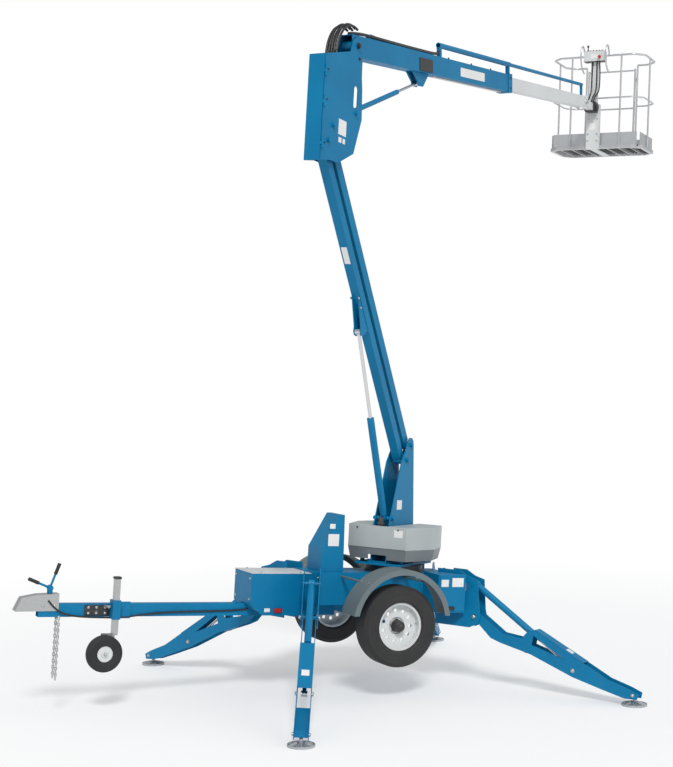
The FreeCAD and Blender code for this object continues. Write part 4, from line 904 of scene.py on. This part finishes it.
@dataclass
class Outrigger:
    """One outrigger's painted highlight on its top edge, pins, edges and foot ribs."""

    corner: str
    half: float = 0.056
    ribs: int = 8

    def foot_ribs(self, body: str) -> None:
        """Radial stiffeners and a rim on the round foot."""
        spot = middle("foot_" + self.corner)
        spot.z = 0.0
        place = Matrix.Translation(spot)
        outline = [(0.030, 0.008), (0.094, 0.008), (0.094, 0.014), (0.034, 0.034)]
        rib = seed(lambda m: m.slab(outline, -0.003, 0.003))
        Repeat(f"foot_ribs_{self.corner}", rib, Finish.GALVANISED).build(
            "ring", {"Count": self.ribs, "Radius": AT_CENTRE}, [place], body, slot="galvanised")
        rim = Maker(f"foot_rim_{self.corner}", body, place, Finish.GALVANISED)
        rim.spindle((0, 0, 0.0), (0, 0, 1),
                    [(0.004, 0.088), (0.004, 0.1015), (0.016, 0.1015), (0.017, 0.0985), (0.0165, 0.096),
                     (0.012, 0.094), (0.011, 0.088)], 48)
        rim.done(slot="galvanised")

    def build(self) -> None:
        """Dress the leg, its cylinder and its bracket."""
        place = leg_frame(self.corner)
        body = "outrigger_" + self.corner
        # A pale strip lying on the leg's top edge: a painted highlight where light catches the top of the
        # leg.
        pale = Maker(f"leg_marks_{self.corner}", body, place, Finish.PLATE)
        start, end = 0.84, 0.90
        rise = (0.0665 - 0.1305) / (1.027 - 0.541)
        low, high = 0.1340 + rise * (start - 0.541), 0.1340 + rise * (end - 0.541)
        pale.slab([(start, low), (end, high), (end, high + 0.001), (start, low + 0.001)], -0.03, 0.03)
        pale.done(slot="silver_paint")
        pins = Maker(f"leg_pins_{self.corner}", body, place, Finish.ZINC)
        for out in (-1, 1):
            pins.bolt((0.965, out * self.half, -0.032), (0, out, 0), 0.018)
            pins.bolt((1.493, out * self.half, 0.010), (0, out, 0), 0.015)
        pins.done(slot="zinc")
        hole = Maker(f"leg_edge_{self.corner}", body, place, Finish.BLUE)
        hole.slab([(0.486, 0.0815), (0.541, 0.1295), (0.545, 0.1335), (0.480, 0.0865)], -self.half, self.half)
        hole.slab([(0.541, 0.1295), (1.027, 0.0665), (1.027, 0.0705), (0.541, 0.1335)], -self.half, self.half)
        hole.done(slot="blue_paint")
        self.foot_ribs(body)
        pins_fixed = Maker(f"bracket_nuts_{self.corner}", "chassis", place, Finish.ZINC)
        for out in (-1, 1):
            pins_fixed.bolt((0, out * 0.075, 0), (0, out, 0), 0.018)
        pins_fixed.done(slot="zinc")


# ------------------------------------------------------------------ turntable and arms
@dataclass
class Turntable:
    """Cover fittings, beacon, riser hoses and pin heads."""

    def build(self) -> None:
        """Dress the cover and the riser."""
        beacon = Maker("beacon", "turntable", TURN, Finish.DARK)
        beacon.spindle((-0.30, 0.0, 1.3855), (-0.30, 0.0, 2.0),
                       [(0, 0.030), (0.006, 0.034), (0.02, 0.034), (0.026, 0.026), (0.06, 0.025),
                        (0.07, 0.016)], 28)
        beacon.done(slot="dark_plastic")
        seam = Maker("cover_seam", "turntable", TURN, Finish.BLACK)
        seam.box((-0.3612, -0.2675, 1.1955), (-0.3598, 0.2675, 1.1985), 0.0003)
        for y in (-0.19, 0.19):
            seam.bolt((-0.3600, y, 1.36), (-1, 0, 0), 0.008)
        seam.done(slot="black_steel")
        plates = Maker("riser_plates", "turntable", TURN, Finish.PLATE)
        plates.box((-0.16, -0.0765, 1.52), (-0.06, -0.0752, 1.60), 0.0003)
        plates.box((-0.3612, -0.235, 1.30), (-0.3602, -0.155, 1.36), 0.0003)
        plates.done(slot="silver_paint")
        heads = Maker("riser_pins", "turntable", TURN, Finish.BLUE)
        for x, z in ((-0.008, 1.945), (0.060, 2.073), (-0.243, 1.446)):
            for out in (-1, 1):
                heads.bolt((x, out * 0.083, z), (0, out, 0), 0.020)
        heads.done(slot="zinc")
        hoses = Maker("riser_hoses", "turntable", TURN, Finish.HOSE)
        for shift in (-0.03, 0.0, 0.03):
            hoses.pipe([(0.16, shift, 1.30), (0.18, shift, 1.45), (0.185, shift, 1.7), (0.17, shift, 1.95),
                        (0.155, shift, 2.05)], 0.011)
        hoses.done(slot="dark_plastic")


@dataclass
class LowerArms:
    """Lines, pins and blank plates on the two parallel arms."""

    length: float = 3.0

    def build(self) -> None:
        """Dress both arms and the lift cylinder."""
        line = Maker("link_arm_line", "link_arm", LINK, Finish.HOSE)
        for shift in (-0.012, 0.012):
            line.pipe([(x, shift, 0.0495) for x in (0.16, 0.6, 1.5, 2.4, self.length - 0.18)], 0.0050)
        line.done(slot="dark_plastic")
        pins = Maker("lift_eye_pins", "lower_arm", ARM, Finish.ZINC)
        for out in (-1, 1):
            for x in (1.56, 1.65):
                pins.bolt((x, out * 0.0335, 0.062), (0, out, 0), 0.010)
        pins.done(slot="zinc")
        plates = Maker("arm_plates", "lower_arm", ARM, Finish.PLATE)
        plates.box((1.95, -0.026, 0.038), (2.10, 0.026, 0.0392), 0.0003)
        plates.done(slot="silver_paint")


@dataclass
class Elbow:
    """Pins, blank plates and the hoses that arch to the boom's root."""

    def build(self) -> None:
        """Dress the elbow and its door."""
        heads = Maker("elbow_pins", "elbow", ELBOW, Finish.BLUE)
        for x, z in ((0, 0), (0.068, 0.128), (0.440, 0.300)):
            for out in (-1, 1):
                heads.bolt((x, out * 0.077, z), (0, out, 0), 0.019)
        heads.done(slot="blue_paint")
        dark = Maker("elbow_boom_pins", "elbow", ELBOW, Finish.BLACK)
        for x, z, size in ((0.412, 0.828, 0.024), (0.452, 0.735, 0.013)):
            for out in (-1, 1):
                dark.bolt((x, out * (0.077 if size > 0.02 else 0.071), z), (0, out, 0), size)
        for z in (-0.03, 0.30, 0.53):
            for out in (0.018, 0.034):
                dark.bolt((-0.085 + out, -0.071, z), (0, -1, 0), 0.006)
        dark.done(slot="black_steel")
        plates = Maker("elbow_plates", "elbow", ELBOW, Finish.PLATE)
        for out in (-1, 1):
            low, high = sorted((out * 0.071, out * 0.0722))
            plates.box((0.16, low, 0.08), (0.29, high, 0.20), 0.0003)
            plates.box((0.17, low, 0.02), (0.22, high, 0.06), 0.0003)
            plates.box((0.24, low, 0.02), (0.28, high, 0.06), 0.0003)
        plates.done(slot="silver_paint")
        hoses = Maker("elbow_hoses", "elbow", ELBOW, Finish.HOSE)
        for index, shift in enumerate((-0.045, -0.022, 0.0, 0.022, 0.045)):
            rise = 0.012 * (index % 2)
            hoses.pipe([(0.10, shift, 0.60), (0.10, shift, 0.72), (0.14, shift, 0.84 + rise),
                        (0.24, shift, 0.95 + rise), (0.36, shift, 0.985 + rise), (0.44, shift, 0.965 + rise)],
                       0.010)
        hoses.done(slot="dark_plastic")


@dataclass
class Boom:
    """Collar, studs, strips and hoses of the telescopic boom."""

    length: float = 3.5
    depth: float = 0.17
    width: float = 0.116

    def build(self) -> None:
        """Dress the boom tube and the extension."""
        collar = Maker("boom_collar", "boom", BOOM, Finish.BLUE)
        half, side = self.depth / 2, self.width / 2
        x, wide = self.length - 0.11, 0.10
        collar.box((x, -side - 0.008, half + 0.0002), (x + wide, side + 0.008, half + 0.008), 0.001)
        collar.box((x, -side - 0.008, -half - 0.008), (x + wide, side + 0.008, -half - 0.0002), 0.001)
        collar.box((x, -side - 0.008, -half - 0.004), (x + wide, -side - 0.0002, half + 0.004), 0.001)
        collar.box((x, side + 0.0002, -half - 0.004), (x + wide, side + 0.008, half + 0.004), 0.001)
        collar.slab([(0.26, half), (1.02, half), (0.48, half + 0.042), (0.36, half + 0.050)], -0.012, 0.012)
        collar.done(slot="blue_paint")
        studs = Maker("boom_studs", "boom", BOOM, Finish.BLACK)
        for out in (-1, 1):
            for z in (-0.05, 0.05):
                studs.bolt((self.length - 0.06, out * (side + 0.008), z), (0, out, 0), 0.010)
        for x in (0.30, 0.85, 1.4, 1.95, 2.5, 3.0):
            studs.rod((x, -side * 0.4, half), (x, -side * 0.4, half + 0.022), 0.007)
        for y in (-0.03, 0.03):
            studs.bolt((self.length - 0.06, y, half + 0.008), (0, 0, 1), 0.010)
        studs.done(slot="black_steel")
        strip = Maker("boom_strip", "boom", BOOM, Finish.ALLOY)
        strip.box((1.62, -0.018, -half - 0.012), (3.30, 0.018, -half - 0.0002), 0.001)
        strip.done(slot="alloy")
        guard = Maker("boom_guard", "boom", BOOM, Finish.BLACK)
        guard.box((1.22, -side - 0.006, -half + 0.01), (1.50, -side - 0.0005, half - 0.05), 0.001)
        guard.pipe([(0.02, 0.02, 0.105), (0.15, 0.0, 0.125), (0.5, -0.036, 0.106), (1.1, -0.036, 0.104),
                    (1.5, -0.034, 0.104), (1.66, -0.030, 0.108), (1.715, -0.028, 0.125),
                    (1.722, -0.028, 0.168)], 0.013)
        guard.done(slot="black_steel")
        plates = Maker("boom_plates", "boom", BOOM, Finish.PLATE)
        for out in (-1, 1):
            low, high = sorted((out * side, out * (side + 0.0012)))
            plates.box((2.15, low, -0.045), (2.75, high, 0.035), 0.0003)
        plates.done(slot="silver_paint")
        head = Maker("head_pins", "extension", BOOM @ Matrix.Translation((2.65, 0, 0)), Finish.ZINC)
        for out in (-1, 1):
            head.bolt((3.32, out * 0.06, 0), (0, out, 0), 0.026)
            for z in (-0.045, 0.045):
                head.bolt((3.24, out * 0.053, z), (0, out, 0), 0.009)
        head.done(slot="zinc")


# ------------------------------------------------------------------ platform
@dataclass
class Platform:
    """Grating, console, guard loops, joints, cables and the toe boards' ribs."""

    near: float = 0.51
    deep: float = 0.67
    wide: float = 1.14
    drop: float = 0.424
    rail: float = 1.06

    def grating(self) -> None:
        """Bars of the floor grating."""
        pitch, thick = 0.034, 0.004
        bars = int((self.wide - 0.09) / pitch)
        shape = seed(lambda m: m.box((0, 0, -0.020), (self.deep - 0.084, thick, 0), 0.0006))
        start = (self.near + 0.042, -self.wide / 2 + 0.048, -self.drop - 0.0005)
        Repeat("floor_grating", shape, Finish.GRATING).build(
            "row", {"Count": bars, "Step": (0, pitch, 0)}, [PLATFORM @ Matrix.Translation(start)], "platform",
            slot="alloy")
        rods = int((self.deep - 0.09) / 0.06)
        cross = seed(lambda m: m.box((0, 0, -0.006), (0.006, self.wide - 0.09, 0.0004), 0.001))
        start = (self.near + 0.06, -self.wide / 2 + 0.045, -self.drop - 0.0002)
        Repeat("grating_rods", cross, Finish.GRATING).build(
            "row", {"Count": rods, "Step": (0.06, 0, 0)}, [PLATFORM @ Matrix.Translation(start)], "platform",
            slot="alloy")

    def toe_ribs(self) -> None:
        """Pressed ribs on the toe boards."""
        inset = 0.036
        low = -self.drop + 0.012
        shape = seed(lambda m: m.box((-0.004, 0, 0), (0.0, 0.022, 0.126), 0.0015))
        start = (self.near + inset - 0.0002, -self.wide / 2 + 0.10, low)
        Repeat("toe_ribs_near", shape, Finish.ALLOY).build(
            "row", {"Count": 17, "Step": (0, 0.058, 0)}, [PLATFORM @ Matrix.Translation(start)], "platform",
            slot="alloy")
        shape = seed(lambda m: m.box((0, -0.004, 0), (0.022, 0.0, 0.126), 0.0015))
        start = (self.near + 0.10, -self.wide / 2 + inset - 0.0002, low)
        Repeat("toe_ribs_left", shape, Finish.ALLOY).build(
            "row", {"Count": 9, "Step": (0.056, 0, 0)}, [PLATFORM @ Matrix.Translation(start)], "platform",
            slot="alloy")

    def console(self) -> None:
        """Console face, buttons, lever and guard loops."""
        top = self.rail - self.drop + 0.0405
        face = Maker("console_face", "platform", PLATFORM, Finish.BLACK)
        face.box((self.near - 0.096, -0.115, top), (self.near - 0.012, 0.115, top + 0.004), 0.001)
        face.box((self.near - 0.106, -0.127, 0.554), (self.near - 0.002, 0.127, 0.5562), 0.0008)
        face.done(slot="black_steel")
        keys = Maker("console_buttons", "platform", PLATFORM, Finish.BLACK)
        for y in (-0.09, -0.055, -0.02, 0.02, 0.055):
            for x in (self.near - 0.078, self.near - 0.035):
                keys.spindle((x, y, top + 0.004), (x, y, top + 1),
                             [(0, 0.010), (0.006, 0.010), (0.009, 0.007)], 20)
        keys.spindle((self.near - 0.05, 0.092, top + 0.004), (self.near - 0.05, 0.092, top + 1),
                     [(0, 0.016), (0.01, 0.014), (0.02, 0.006), (0.05, 0.006), (0.055, 0.013), (0.07, 0.013),
                      (0.076, 0.008)], 20)
        keys.done(slot="black_steel")
        stop = Maker("stop_button", "platform", PLATFORM, Finish.LAMP)
        stop.spindle((self.near - 0.112, -0.07, 0.60), (self.near - 1.1, -0.07, 0.60),
                     [(0, 0.014), (0.006, 0.014), (0.008, 0.020), (0.018, 0.018), (0.021, 0.010)], 28)
        stop.done(slot="blue_paint")
        loops = Maker("console_guards", "platform", PLATFORM, Finish.ALLOY)
        rail = self.rail - self.drop
        for y in (-0.15, 0.15):
            loops.pipe([(self.near + 0.010, y, rail), (self.near - 0.02, y, rail + 0.11),
                        (self.near - 0.10, y, rail + 0.12), (self.near - 0.15, y, rail + 0.02),
                        (self.near - 0.12, y, rail - 0.16), (self.near + 0.012, y, rail - 0.20)], 0.009, 12)
        loops.done(slot="alloy")

    def mount(self) -> None:
        """Rotator, cables and bolts at the boom's head."""
        black = Maker("rotator", "platform", PLATFORM, Finish.BLACK)
        black.box((0.31, -0.062, -0.055), (0.43, 0.062, 0.060), 0.004)
        black.spindle((0.37, -0.080, 0.0), (0.37, 1, 0.0), [(0, 0.036), (0.004, 0.040), (0.155, 0.040),
                                                           (0.16, 0.036)], 32)
        black.done(slot="black_steel")
        cables = Maker("platform_cables", "platform", PLATFORM, Finish.HOSE)
        for y in (-0.045, -0.02, 0.02):
            cables.pipe([(0.30, y, 0.062), (0.36, y, 0.14), (0.42, y * 1.4, 0.17), (0.452, y * 1.5, 0.26),
                         (0.445, y * 1.5, 0.44), (0.446, y * 1.3, 0.555)], 0.008)
        cables.done(slot="dark_plastic")
        bolts = Maker("mount_bolts", "platform", PLATFORM, Finish.ZINC)
        for z in (-0.38, -0.30, -0.12, 0.02):
            for y in (-0.055, 0.055):
                bolts.bolt((self.near - 0.070, y, z), (-1, 0, 0), 0.010)
        bolts.done(slot="zinc")
        plate = Maker("mount_plates", "platform", PLATFORM, Finish.PLATE)
        plate.box((self.near - 0.0713, -0.035, -0.25), (self.near - 0.0701, 0.035, -0.17), 0.0003)
        plate.box((self.near - 0.1052, -0.06, 0.585), (self.near - 0.1041, 0.04, 0.64), 0.0003)
        plate.done(slot="silver_paint")

    def build(self) -> None:
        """Dress the whole basket."""
        self.grating()
        self.toe_ribs()
        self.console()
        self.mount()


@dataclass
class Cover:
    """The cover's two-tone finish: the band under its waist is darker."""

    waist: float = 1.197

    def build(self) -> None:
        """Make the finish and put it on the cover."""
        g = Graph("cover_two_tone")
        centre = TURN @ Vector((0, 0, self.waist))
        offset = g.add("ShaderNodeVectorMath", {"operation": "SUBTRACT"}, {0: g.place, 1: tuple(centre)})
        level = Value(g, g.add("ShaderNodeVectorMath", {"operation": "DOT_PRODUCT"},
                               {0: offset.outputs["Vector"], 1: tuple(UP)}).outputs["Value"])
        upper = level.between(-0.001, 0.001)
        cloud = g.noise(3.2, 5).between(0.35, 0.72)
        scuff = g.noise(34, 6, (1, 1, 0.3)).between(0.6, 0.8)
        light = g.blend(cloud, (0.43, 0.47, 0.47), (0.38, 0.42, 0.42))
        dark = g.blend(cloud, (0.20, 0.225, 0.235), (0.16, 0.185, 0.195))
        g.bump(g.noise(300, 2), 0.0005, 0.35)
        colour = g.blend(scuff * 0.2, g.blend(upper, dark, light), (0.34, 0.33, 0.31))
        g.surface(Base_Color=colour, Roughness=0.4 + cloud * 0.12)
        node = frame["nodes"]["turntable_cover"]
        node.data.materials.clear()
        node.data.materials.append(g.material)


def main() -> None:
    """Build everything in order."""
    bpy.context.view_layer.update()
    dress_nodes()
    for part in PARTS:
        part.build()
    Stage().build()


PARTS: list = [RoadWheel("left"), RoadWheel("right"), Chassis(), Drawbar(), Turntable(), Cover(), LowerArms(),
               Elbow(), Boom(), Platform()] + [Outrigger(corner) for corner in CORNERS]

if __name__ == "__main__":
    main()
